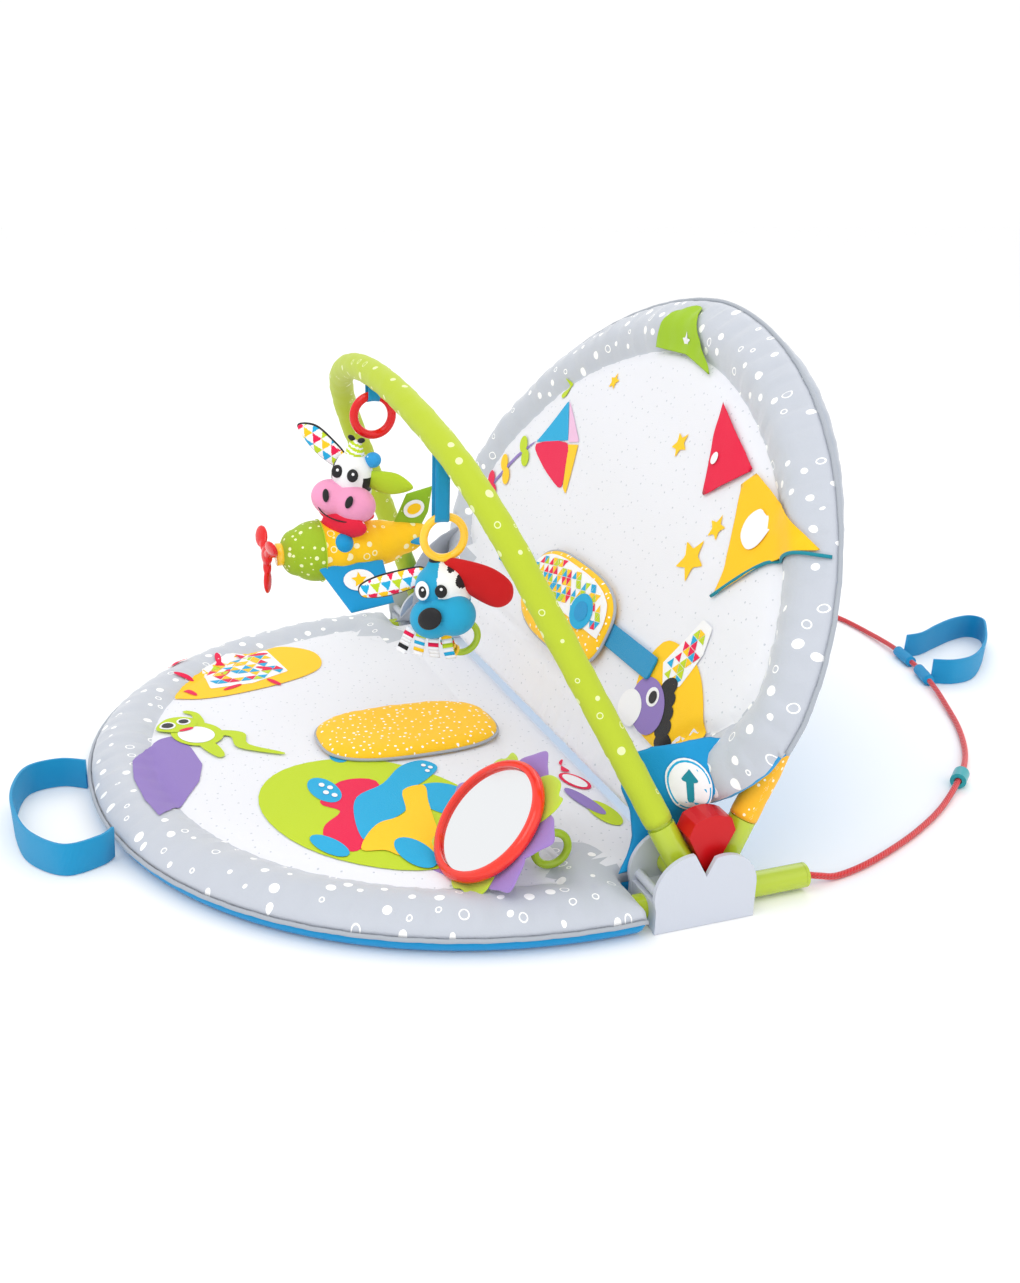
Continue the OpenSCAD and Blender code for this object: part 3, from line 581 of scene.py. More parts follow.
# ---------------------------------------------------------------- floor mat
def make_mat():
    pick = lambda p, d: ((d > BORDER) | ((p[:, 1] > -0.052) & (abs(p[:, 0]) < 0.300))).astype(int)
    top = cushion("floor_mat_top", MAT_LINE, mat_top, lambda p, d, s: 0.0155 + 0 * d, flat_floor,
                  [SATIN, WHITE, SATIN_PLAIN], pick, 0.008, RINGS)
    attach(top, "floor_frame")
    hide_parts("floor_mat")
    base = cushion("mat_base", MAT_LINE, lambda p, d, s: 0.0149 + 0 * d, mat_side, flat_floor, [BLUE],
                   None, 0.02, (0.001, 0.003, 0.006, 0.010))
    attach(base, "floor_frame")
    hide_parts("mat_underside", "base_sleeve")
    front = MAT_LINE[MAT_LINE[:, 1] < -0.043]
    front = front[np.argsort(np.arctan2(front[:, 1] + 0.043, front[:, 0]))]
    out = front * 1.004
    rope = sweep("mat_rope", flat_floor(out, 0.0157 + 0.0004 * waves(np.arange(len(out)) * 0.9)), 0.0019,
                 [PIPING], 10)
    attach(rope, "floor_frame")
    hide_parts("mat_piping")


def creature(x, y, turn):
    """A plain lime hopper with a white belly."""
    c, s = math.cos(turn), math.sin(turn)
    at = lambda a, b: (x + c * a - s * b, y + s * a + c * b)
    legs = [(-0.002, 0.026), (0.020, 0.045), (0.046, 0.034), (0.082, 0.052), (0.080, 0.044), (0.046, 0.022),
            (0.018, 0.030), (0.006, 0.012), (0.030, 0.010), (0.052, 0.004), (0.050, -0.004), (0.012, -0.002)]
    arm = [(-0.028, 0.016), (-0.050, 0.026), (-0.062, 0.022), (-0.064, 0.028), (-0.050, 0.034),
           (-0.024, 0.026)]
    shapes = [
        (spline([at(*p) for p in legs], 4, True), LIME, 4),
              (spline([at(*p) for p in arm], 4, True), LIME, 4),
        (ellipse(*at(-0.008, 0.008), 0.031, 0.024, math.degrees(turn)), LIME, 4),
        (ellipse(*at(-0.006, 0.006), 0.021, 0.017, math.degrees(turn)), BLANK, 5),
        (ellipse(*at(-0.038, 0.002), 0.018, 0.021, math.degrees(turn)), LIME, 6),
        (ellipse(*at(-0.040, -0.007), 0.009, 0.008), BLANK, 7),
              (ellipse(*at(-0.040, -0.007), 0.006, 0.006), BLACK, 8),
        (ellipse(*at(-0.040, 0.011), 0.008, 0.007), BLANK, 7),
              (ellipse(*at(-0.040, 0.011), 0.005, 0.005), BLACK, 8),
        (ellipse(*at(-0.022, 0.004), 0.003, 0.008, math.degrees(turn)), CRIMSON, 7),
    ]
    return [printed(mat_at, line, mat, layer) for line, mat, layer in shapes]


def make_mat_prints():
    leaf = [(-0.060, -0.372), (-0.066, -0.349), (-0.033, -0.340), (0.006, -0.336), (0.040, -0.345),
            (0.075, -0.364), (0.106, -0.391), (0.070, -0.398), (0.025, -0.402), (-0.015, -0.398)]
    sun = spline([(-0.165, -0.335), (-0.205, -0.312), (-0.238, -0.282), (-0.264, -0.240), (-0.268, -0.195),
                  (-0.240, -0.165), (-0.195, -0.170), (-0.165, -0.215), (-0.150, -0.268), (-0.150, -0.318)],
                 5, True)
    patch = [(-0.262, -0.262), (-0.262, -0.216), (-0.195, -0.206), (-0.172, -0.250), (-0.172, -0.296),
             (-0.225, -0.296)]
    crimson = [(0.082, -0.222), (0.092, -0.190), (0.135, -0.200), (0.180, -0.225), (0.200, -0.228),
               (0.212, -0.246), (0.186, -0.262), (0.160, -0.257), (0.139, -0.237), (0.116, -0.250)]
    cyan = [(0.118, -0.216), (0.100, -0.186), (0.071, -0.160), (0.064, -0.136), (0.083, -0.126),
            (0.105, -0.146), (0.121, -0.168), (0.151, -0.178), (0.168, -0.197), (0.182, -0.218),
            (0.196, -0.232), (0.157, -0.229)]
    gold = [(0.118, -0.172), (0.114, -0.150), (0.144, -0.156), (0.178, -0.162), (0.200, -0.166),
            (0.240, -0.178), (0.232, -0.208), (0.219, -0.219), (0.213, -0.238), (0.191, -0.228),
            (0.172, -0.211), (0.167, -0.195), (0.156, -0.181)]
    shapes = [
        (leaf, PURPLE, 1), (sun, YELLOW, 1), (ellipse(0.146, -0.206, 0.121, 0.088, 30), LIME, 1),
        (ellipse(0.094, -0.240, 0.027, 0.013, 8), CYAN, 3), (spline(crimson, 4, True), CRIMSON, 2),
        (spline(cyan, 4, True), CYAN, 3), (spline(gold, 4, True), YELLOW, 4),
        (ellipse(0.146, -0.138, 0.036, 0.024, 20), CYAN, 3),
              (ellipse(0.230, -0.196, 0.028, 0.014, 12), CYAN, 5),
        (ellipse(0.196, -0.262, 0.024, 0.010, 24), CYAN, 4), (ellipse(0.031, -0.209, 0.014, 0.009), CYAN, 2),
    ]
    shapes += [(ellipse(0.084 + 0.008 * k, -0.240 + 0.006 * (k % 2), 0.004, 0.0026), BLANK,
                5) for k in range(4)]
    shapes += [(ellipse(0.076 + 0.006 * k, -0.138 + 0.005 * (k % 2), 0.003, 0.0022), BLANK,
                5) for k in range(3)]
    for k in range(9):
        x, y = -0.168 - 0.042 * (k % 3), -0.318 + 0.045 * (k // 3)
        shapes.append((ellipse(x, y, 0.012, 0.0035, 25 + 30 * k), CRIMSON, 3))
    wing = [(0.126, -0.016), (0.104, 0.002 - 0.006), (0.112, -0.012), (0.130, 0.004 - 0.012)]
    shapes += [(spline(wing, 4, True), CRIMSON, 2), (ellipse(0.150, -0.012, 0.020, 0.010, 20), CRIMSON, 1),
               (ellipse(0.150, -0.012, 0.016, 0.007, 20), BLANK, 2),
               (ellipse(0.215, -0.012, 0.026, 0.011, 8), LIME, 1),
               (ellipse(0.190, -0.020, 0.030, 0.007, 14), PURPLE, 2)]
    made = [printed(mat_at, line, mat, layer) for line, mat, layer in shapes]
    made.append(printed(mat_at, patch, BLANK, 2))
    made.append(triangles(mat_at, patch, 0.013, 3, BRIGHTS, 0.5))
    made += creature(-0.052, -0.334, 0.35)
    prints = joined("mat_prints", made)
    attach(prints, "floor_frame")


# ---------------------------------------------------------------- backrest
def make_backrest():
    pick = lambda p, d: ((d > BORDER) | ((p[:, 1] < 0.06) & (abs(p[:, 0]) < 0.262))).astype(int)
    pad = cushion("backrest_cushion", BACK_LINE, back_front, back_rear, on_back, [SATIN, WHITE, BLUE],
                  pick, 0.008, RINGS)
    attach(pad, "backrest")
    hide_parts("backrest_pad")
    upper = BACK_LINE[BACK_LINE[:, 1] > 0.114]
    upper = upper[np.argsort(np.arctan2(upper[:, 1] - 0.114, upper[:, 0]))]
    out = (upper - [0, 0.138]) * 1.005 + [0, 0.138]
    rope = sweep("backrest_rope", on_back(out, 0.0240 + 0.0005 * waves(np.arange(len(out)) * 0.8)), 0.0020,
                 [PIPING], 10)
    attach(rope, "backrest")
    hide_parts("backrest_piping")


def star(x, y, r, turn=0.0):
    return [(x + (r if k % 2 == 0 else 0.45 * r) * math.sin(turn + k * math.pi / 5),
             y + (r if k % 2 == 0 else 0.45 * r) * math.cos(turn + k * math.pi / 5)) for k in range(10)]


def bow(x, y, r, mat):
    shapes = [ellipse(x - 0.7 * r, y + 0.5 * r, r, 0.6 * r, 145),
              ellipse(x + 0.7 * r, y - 0.5 * r, r, 0.6 * r, 145)]
    return [printed(back_at, line, mat, 3) for line in shapes]


def make_back_prints():
    shapes = [
        ([(-0.230, 0.233), (-0.196, 0.291), (-0.160, 0.252)], CYAN, 1),
        ([(-0.193, 0.291), (-0.134, 0.256), (-0.158, 0.250)], LILAC, 1),
        (spline([(-0.228, 0.231), (-0.160, 0.249), (-0.140, 0.225), (-0.128, 0.203), (-0.160, 0.206),
                 (-0.200, 0.216)],
                3, True), CRIMSON, 1),
        ([(-0.156, 0.248), (-0.133, 0.253), (-0.112, 0.200), (-0.124, 0.204)], YELLOW, 1),
        (spline([(-0.230, 0.234), (-0.256, 0.205), (-0.292, 0.156), (-0.295, 0.158), (-0.259, 0.209)], 3,
                True),
         PURPLE, 2),
        (spline([(-0.222, 0.312), (-0.214, 0.304), (-0.222, 0.298), (-0.214, 0.290), (-0.206, 0.297),
                 (-0.208, 0.308)], 3, True), LIME, 1),
        (star(0.173, 0.247, 0.013), YELLOW, 1), (star(0.158, 0.211, 0.022, 0.3), YELLOW, 1),
        (star(-0.120, 0.330, 0.010), YELLOW, 1), (star(0.055, 0.300, 0.014, 0.5), YELLOW, 1),
        (spline([(0.178, 0.134), (0.215, 0.140), (0.252, 0.128), (0.290, 0.088), (0.296, 0.060),
                 (0.210, 0.052),
                 (0.168, 0.090)], 4, True), YELLOW, 1),
        (ellipse(0.200, 0.078, 0.030, 0.024, -20), PURPLE, 4),
              (ellipse(0.176, 0.066, 0.020, 0.017), BLANK, 5),
        (ellipse(0.203, 0.088, 0.010, 0.009), BLANK, 5), (ellipse(0.204, 0.088, 0.006, 0.006), BLACK, 6),
    ]
    for k in range(5):
        shapes.append((ellipse(0.218 + 0.006 * k, 0.104 - 0.011 * k, 0.012, 0.009, 40), BLACK, 3))
    band = [(0.193, 0.119), (0.218, 0.172), (0.236, 0.170), (0.240, 0.146), (0.231, 0.111), (0.212, 0.097)]
    made = [printed(back_at, line, mat, layer) for line, mat, layer in shapes]
    made += [printed(back_at, band, BLANK, 2), triangles(back_at, band, 0.0105, 3, BRIGHTS, 0.9, 0.75)]
    for at, mat in (((-0.246, 0.217), LIME), ((-0.272, 0.187), YELLOW), ((-0.288, 0.162), CRIMSON)):
        made += bow(*at, 0.0125, mat)
    prints = joined("backrest_prints", made)
    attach(prints, "backrest")


def make_pennant(name, node, points, mat, marks, bound=None):
    line = resampled(points, 0.005)
    def lift(h):
        def height(p, d, s):
            away, along = edge_of(p, BACK_LINE)
            seam = 0.0050 * bell(away, BORDER, 0.006)
            return back_front(p, away, along) + seam + h + 0.0008 * waves(s * 60) * bell(d, 0, 0.01)

        return height

    flag = cushion(name, line, lift(0.0030), lift(0.0018), on_back, [mat], None, 0.008, (0.001, 0.004))
    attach(flag, "backrest")
    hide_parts(node)
    extras = [printed(lambda p, h: back_at(p, 0.0033 + h), m, BLANK) for m in marks]
    if bound is not None:
        edge = resampled(spline(bound, 6), 0.004, False)
        extras.append(sweep(name + "_hem", back_at(edge, 0.0028), 0.0016, [TEAL], 8))
    for k, o in enumerate(extras):
        o.name = f"{name}_mark_{k}"
        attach(o, "backrest")


def make_pennants():
    make_pennant("flag_green", "pennant_green",
                 [(-0.065, 0.378), (-0.060, 0.402), (-0.052, 0.418), (-0.025, 0.431), (-0.008, 0.428),
                  (0.023, 0.394),
                  (0.056, 0.370), (0.001, 0.381)], PRINT_GREEN, [star(-0.005, 0.392, 0.010)])
    make_pennant("flag_red", "pennant_red", [(0.098, 0.352), (0.189, 0.307), (0.132, 0.266), (0.110, 0.316)],
                 PRINT_RED,
                 [ellipse(0.127, 0.302, 0.005, 0.006)])
    drop = spline([(0.232, 0.244), (0.216, 0.252), (0.214, 0.268), (0.226, 0.280), (0.238, 0.277),
                   (0.246, 0.281),
                   (0.250, 0.266), (0.244, 0.250)], 4, True)
    make_pennant("flag_yellow", "pennant_yellow",
                 [(0.182, 0.291), (0.196, 0.306), (0.322, 0.272), (0.264, 0.241), (0.217, 0.193),
                  (0.214, 0.222)],
                 PRINT_GOLD, [drop], [(0.329, 0.271), (0.264, 0.241), (0.215, 0.193)])


PRINT_GREEN = cloth("flag_green", "9CC31C")
PRINT_RED = cloth("flag_red", "E5093F")
PRINT_GOLD = cloth("flag_gold", "FFC50A")
make_mat()
make_mat_prints()
make_backrest()
make_back_prints()
make_pennants()


# ---------------------------------------------------------------- side walls, frame and hinge hubs
WALL_LINE = [(-0.046, 0.000), (-0.036, 0.012), (-0.028, 0.025), (-0.028, 0.047), (-0.034, 0.064),
             (-0.032, 0.080),
             (-0.024, 0.094), (-0.010, 0.102), (0.012, 0.110), (0.030, 0.115), (0.047, 0.1145),
             (0.043, 0.103),
             (0.034, 0.080), (0.025, 0.061), (0.013, 0.042), (0.001, 0.025), (-0.006, 0.012),
             (-0.006, 0.000)]
WALL_ROWS = np.array([
    # height, y and x of the free edge, y and x of the edge sewn to the backrest
    (0.000, -0.046, 0.3140, -0.006, 0.3000), (0.025, -0.028, 0.3000, 0.001, 0.3070),
    (0.047, -0.029, 0.2920, 0.016, 0.3160), (0.064, -0.034, 0.2860, 0.0265, 0.3310),
    (0.092, -0.025, 0.2800, 0.0390, 0.3330), (0.115, -0.022, 0.2790, 0.0470, 0.3200),
])


def wall_place(side):
    """Where the wall's point (y, height above the mat) stands, pushed out by t."""
    def place(p, t):
        y, h = p[:, 0], p[:, 1]
        y0, x0, y1, x1 = (np.interp(h, WALL_ROWS[:, 0], WALL_ROWS[:, k]) for k in (1, 2, 3, 4))
        share = np.clip((y - y0) / (y1 - y0), 0, 1)
        fold = 0.0030 * np.sin(math.pi * share) + 0.0011 * waves(h * 60 + y * 190) * np.clip(h / 0.03, 0, 1)
        return np.stack([side * (x0 + (x1 - x0) * share + fold + t), y, 0.0300 + h], 1)

    return place


def make_wall(side, name):
    place = wall_place(side)
    line = resampled(WALL_LINE, 0.004)
    wall = cushion(name, line, lambda p, d, s: 0.0014 * rounded(d, 0.004), lambda p, d,
                   s: -0.0014 * rounded(d, 0.004),
                   place, [BLUE, SATIN_PLAIN], lambda p, d: np.zeros(len(p), int), 0.006, (0.0015, 0.004))
    at = lambda p, h: place(p, 0.0016 + h)
    y, h = 0.0113, 0.0766
    rounds = [printed(at, ellipse(y, h, 0.0160 * k, 0.0220 * k), mat, layer, 0.004)
              for k, mat, layer in ((1, BLANK, 1), (0.93, CYAN, 2), (0.86, BLANK, 3))]
    arrow = [(0, 0.014), (0.0065, 0.004), (0.0025, 0.004), (0.0025, -0.013), (-0.0025, -0.013),
             (-0.0025, 0.004),
             (-0.0065, 0.004)]
    mark = printed(at, [(y + a, h + b) for a, b in arrow], TEAL, 4, 0.004)
    label = joined(name + "_label", rounds + [mark])
    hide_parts("side_" + name)
    for piece in (wall, label):
        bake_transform(piece)


def finish_node(node, mat, bevel=0.0):
    """A CAD piece that stays as it is, with its finish and softened edges."""
    obj = bpy.data.objects[node]
    obj.data.materials.clear()
    obj.data.materials.append(mat)
    obj.data.shade_smooth()
    obj.data.set_sharp_from_angle(angle=math.radians(38))
    if bevel:
        edge = obj.modifiers.new("edge", "BEVEL")
        edge.width, edge.segments, edge.limit_method = bevel, 3, "ANGLE"
        edge.angle_limit = math.radians(50)
        edge.harden_normals = True


def colour_islands(bm):
    """Give each separate ring of a mesh its own material slot."""
    seen, kind = set(), 0
    for start in bm.faces:
        if start in seen:
            continue
        group = [start]
        seen.add(start)
        while group:
            face = group.pop()
            face.material_index = kind
            near = {f for v in face.verts for f in v.link_faces} - seen
            seen |= near
            group.extend(near)
        kind += 1


def finish_nodes():
    for node in ("base_tube", "stub_caps", "back_tube", "arch_tube", "back_foot_left", "back_foot_right",
                 "arch_foot_left", "arch_foot_right"):
        finish_node(node, TUBE)
    for node in ("hub_outer_left", "hub_outer_right", "hub_inner_left", "hub_inner_right"):
        finish_node(node, HUB, 0.0016)
    for node in ("pivot_pins", "hub_screws"):
        finish_node(node, STEEL)
    finish_node("lock_wedge_left", WEDGE, 0.0012)
    finish_node("lock_wedge_right", WEDGE, 0.0012)
    finish_node("plane_ring", RED_PLASTIC)
    finish_node("puppy_ring", GOLD_PLASTIC)
    finish_node("rattle_arm", LIME_PLASTIC)
    finish_node("rattle_rings", RED_PLASTIC)
    rings = bpy.data.objects["rattle_rings"].data
    rings.materials.append(TEAL_PLASTIC)
    rings.materials.append(GOLD_PLASTIC)
    loose = bmesh.new()
    loose.from_mesh(rings)
    colour_islands(loose)
    loose.to_mesh(rings)
    loose.free()
    finish_node("mirror_ring", LIME_PLASTIC)
    finish_node("mirror_rim", RIM)
    finish_node("mirror_glass", GLASS)
    finish_node("cord_stopper", TEAL_PLASTIC, 0.0015)


# ---------------------------------------------------------------- covers on the tubes
def in_arch(x, h):
    return np.array([x, -h * math.sin(ARCH_LEAN), 0.0385 + h * math.cos(ARCH_LEAN)])


def arch_line():
    """Centre line of the arch from the left neck to the right one."""
    lean = math.radians(21.8)
    foot_x, end_h, shoulder = 0.350, 0.273, 0.160
    end_x = foot_x - end_h * math.tan(lean)
    cx, ch = end_x - shoulder * math.cos(lean), end_h - shoulder * math.sin(lean)
    rise = 0.393 - ch
    top = (cx**2 + rise**2 - shoulder**2) / (2 * (rise - shoulder))
    top_h = 0.393 - top
    turn = math.atan2(ch - top_h, cx)
    half = [(foot_x - h * math.tan(lean), h) for h in np.linspace(0.049, end_h, 45)[:-1]]
    half += [(cx + shoulder * math.cos(a), ch + shoulder * math.sin(a))
             for a in np.linspace(lean, turn, 26)[:-1]]
    half += [(top * math.cos(a), top_h + top * math.sin(a)) for a in np.linspace(turn, math.pi / 2, 34)]
    return [in_arch(x, h) for x, h in half] + [in_arch(-x, h) for x, h in half[-2::-1]]


def make_covers():
    arch = sweep("arch_cover", arch_line(), 0.0121, [SLEEVE], 26, ripple=0.00045)
    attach(arch, "arch")
    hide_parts("arch_sleeve")
    turn = math.asin((0.152 - 0.085) / 0.340)
    for side, name in ((1, "leg_cover_left"), (-1, "leg_cover_right")):
        low = [(side * 0.340, s) for s in np.linspace(0.047, 0.085, 9)[:-1]]
        low += [(side * 0.340 * math.cos(a), 0.085 + 0.340 * math.sin(a)) for a in np.linspace(0, turn, 14)]
        leg = sweep(name + "_cloth", on_back(np.array(low), np.zeros(len(low))), 0.0120, [COVER], 24,
                    ripple=0.0004)
        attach(leg, "backrest")
        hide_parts(name)
    angles = np.linspace(turn + 0.001, math.pi - turn - 0.001, 150)
    upper = np.stack([0.340 * np.cos(angles), 0.085 + 0.340 * np.sin(angles)], 1)
    back = sweep("back_cover", on_back(upper, np.zeros(len(upper))), 0.0121, [SATIN_PLAIN], 24,
                 ripple=0.0006)
    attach(back, "backrest")
    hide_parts("back_sleeve")


# ---------------------------------------------------------------- webbing, cord and harness
def webbing(name, path, width, thick, mat, bottom=0.0005):
    """A standing band of webbing along a floor path, with rounded edges."""
    p = np.array(path, float)
    ahead = np.gradient(p, axis=0)
    ahead /= np.linalg.norm(ahead, axis=1)[:, None]
    across = np.stack([-ahead[:, 1], ahead[:, 0]], 1)
    run = np.concatenate([[0], np.cumsum(np.linalg.norm(np.diff(p, axis=0), axis=1))])
    profile = [(-0.5, 0.06), (-0.35, 0.0), (0.35, 0.0), (0.5, 0.06), (0.5, 0.5), (0.5, 0.94), (0.35, 1.0),
               (-0.35, 1.0), (-0.5, 0.94), (-0.5, 0.5)]
    verts, uv, faces, m = [], [], [], len(profile)
    for i in range(len(p)):
        lean = 0.0016 * math.sin(run[i] * 40)
        for a, b in profile:
            xy = p[i] + across[i] * (a * thick + lean * (b - 0.3))
            verts.append((xy[0], xy[1], bottom + b * width))
            uv.append((run[i], b * width))
    for i in range(len(p) - 1):
        faces += [(i * m + k, i * m + (k + 1) % m, (i + 1) * m + (k + 1) % m,
                   (i + 1) * m + k) for k in range(m)]
    faces += [tuple(range(m))[::-1], tuple((len(p) - 1) * m + k for k in range(m))]
    obj = add_mesh(name, verts, faces, [mat], None, uv)
    obj.data.set_sharp_from_angle(angle=math.radians(60))
    return obj


FRONT_LOOP = [(-0.040, -0.439), (-0.052, -0.462), (-0.044, -0.492), (-0.006, -0.506), (0.040, -0.508),
              (0.086, -0.500), (0.118, -0.474), (0.112, -0.444), (0.100, -0.431)]
REAR_LOOP = [(-0.008, 0.5235), (0.002, 0.548), (-0.004, 0.580), (-0.034, 0.618), (-0.074, 0.655),
             (-0.104, 0.676),
             (-0.121, 0.668), (-0.118, 0.640), (-0.102, 0.600), (-0.088, 0.568), (-0.086, 0.5435)]
CORD_WAY = [
    (0.340, 0.122, 0.0125), (0.340, 0.138, 0.008), (0.338, 0.158, 0.0032), (0.331, 0.190, 0.0032),
    (0.315, 0.232, 0.0032), (0.292, 0.280, 0.0032), (0.262, 0.330, 0.004), (0.222, 0.382, 0.0082),
    (0.174, 0.428, 0.004), (0.120, 0.464, 0.0032), (0.066, 0.490, 0.004), (0.010, 0.512, 0.0066),
    (-0.046, 0.530, 0.0066), (-0.104, 0.541, 0.0066), (-0.164, 0.546, 0.004), (-0.222, 0.543, 0.0032),
    (-0.274, 0.526, 0.0032), (-0.316, 0.494, 0.0032), (-0.346, 0.446, 0.0032), (-0.363, 0.388, 0.0032),
    (-0.370, 0.326, 0.0032), (-0.368, 0.262, 0.0032), (-0.358, 0.204, 0.0032), (-0.346, 0.160, 0.0032),
    (-0.341, 0.138, 0.008), (-0.340, 0.122, 0.0125),
]


def make_cord():
    line = spline(CORD_WAY, 8)
    rope = sweep("pull_cord", line, 0.0030, [CORD], 14)
    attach(rope, "floor_frame")
    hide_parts("cord")
    loop = webbing("rear_loop", spline(REAR_LOOP, 8), 0.030, 0.0032, WEBBING)
    grips = []
    for a, b in ((11, 12), (12, 13)):
        ends = np.array([CORD_WAY[a], CORD_WAY[b]])
        way = (ends[1] - ends[0])[:2]
        way /= np.linalg.norm(way)
        middle = np.append(ends.mean(0)[:2], 0.0068)
        side = np.append(way, 0) * 0.018
        path = [middle - side, middle - side * 0.92, middle, middle + side * 0.92, middle + side]
        grips.append(sweep("grip", resampled(path, 0.003, False), 0.0064, [WEBBING], 18, ripple=0.0002))
    grips = joined("rear_grips", grips)
    for piece in (loop, grips):
        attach(piece, "floor_frame")
        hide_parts("rear_handle")
    declare_band(loop, REAR_LOOP)
    front = webbing("front_loop", spline(FRONT_LOOP, 8), 0.030, 0.0032, WEBBING)
    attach(front, "floor_frame")
    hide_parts("front_handle")
    declare_band(front, FRONT_LOOP)


def declare_band(band, way):
    path = spline(way, 8)
    length = float(np.linalg.norm(np.diff(path, axis=0), axis=1).sum())
    print(band.name, "length", round(length, 4))


def make_harness():
    line = resampled(superellipse(0.057, 0.091, 2.8, 400) + [0, -0.130], 0.004)
    top = lambda p, d, s: (0.0345 + 0.0085 * rounded(d, 0.016)
                           + 0.0006 * waves(s * 130) * bell(d, 0.006, 0.008))
    pad = cushion("crotch_cushion", line, top, lambda p, d, s: 0.0345 - 0.0035 * rounded(d, 0.01),
                  flat_floor,
                  [SAND], None, 0.006, (0.001, 0.003, 0.006, 0.010, 0.016))
    hem = sweep("crotch_hem", flat_floor(line, np.full(len(line), 0.0345)), 0.0016, [PIPING], 8, closed=True)
    pad = joined("crotch_cushion", [pad, hem])
    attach(pad, "floor_frame")
    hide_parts("crotch_pad")
    line = resampled(superellipse(0.095, 0.046, 3, 400) + [0, 0.105], 0.004)
    top = lambda p, d, s: (0.0420 + 0.0065 * rounded(d, 0.016)
                           + 0.0006 * waves(s * 120) * bell(d, 0.006, 0.008))
    panel = cushion("waist_cushion", line, top, lambda p, d, s: 0.0420 - 0.0050 * rounded(d, 0.01), on_back,
                    [SAND], None, 0.006, (0.001, 0.003, 0.006, 0.010, 0.016))
    at = lambda p, h: on_back(p, top(p, *edge_of(p, line)) + h)
    upper = [q for q in superellipse(0.090, 0.041, 3, 120) + [0, 0.105] if q[1] > 0.098]
    upper = np.array(sorted(upper, key=lambda q: math.atan2(q[1] - 0.098, q[0])))
    bits = [printed(at, upper, BLANK, 1), triangles(at, upper, 0.0100, 2, BRIGHTS, 0.2, 0.7),
            printed(at, ellipse(0.045, 0.112, 0.022, 0.018), CYAN, 3),
            printed(at, ellipse(0.045, 0.112, 0.013, 0.010), BLUE, 4),
            sweep("waist_hem", on_back(line, np.full(len(line), 0.0420)), 0.0016, [PIPING], 8, closed=True)]
    panel = joined("waist_cushion", [panel, *bits])
    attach(panel, "backrest")
    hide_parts("waist_panel")
    for side, name in ((1, "waist_strap_left"), (-1, "waist_strap_right")):
        band = resampled([(side * 0.092, 0.097), (side * 0.186, 0.097), (side * 0.186, 0.120),
                          (side * 0.092, 0.120)],
                         0.004)
        lift = lambda h: lambda p, d, s: back_front(p, *edge_of(p, BACK_LINE)) + h
        strap = cushion(name + "_web", band, lift(0.0042), lift(0.0014), on_back, [WEBBING], None, 0.006,
                        (0.001,))
        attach(strap, "backrest")
        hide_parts(name)


# ---------------------------------------------------------------- toys
def lattice(p, size, tilt):
    """Which colour of a lattice of triangles each point falls on; every other triangle is white."""
    c, n = math.cos(tilt), math.sin(tilt)
    x, y = c * p[:, 0] + n * p[:, 1], c * p[:, 1] - n * p[:, 0]
    v = 2 * y / (size * math.sqrt(3)) + 40
    u = x / size - y / (size * math.sqrt(3)) + 40
    over = (u % 1) + (v % 1) > 1
    hue = 1 + (2 * np.floor(u) + 3 * np.floor(v)).astype(int) % 4
    return np.where(over, hue, 0)


def leaf(name, points, thick, mats, frame_at, extras=(), smooth=True, pick=None, step=0.004):
    """A flat stuffed ear, wing or petal in the local x-z plane of frame_at."""
    line = resampled(spline(points, 6, True) if smooth else points, min(0.0012, step))
    place = lambda p, t: np.stack([p[:, 0], t, p[:, 1]], 1)
    width = 2.5 * thick
    top = lambda p, d, s: -thick * rounded(d, width)
    under = lambda p, d, s: 0.8 * thick * rounded(d, width)
    body = cushion(name, line, top, under, place, mats, pick, step, (0.0005, 0.0015, 0.003))
    at = lambda p, h: place(p, top(p, *edge_of(p, line)) - h)
    body = joined(name, [body] + [draw(at) for draw in extras])
    body.data.transform(frame_at)
    return body


def patched_ear(name, points, thick, frame_at, tilt, size):
    """An ear with a face of coloured triangles and a black back."""
    return leaf(name, points, thick, [BLANK, *BRIGHTS, BLACK], frame_at,
                pick=lambda p, d: lattice(p, size, tilt), step=0.0010)


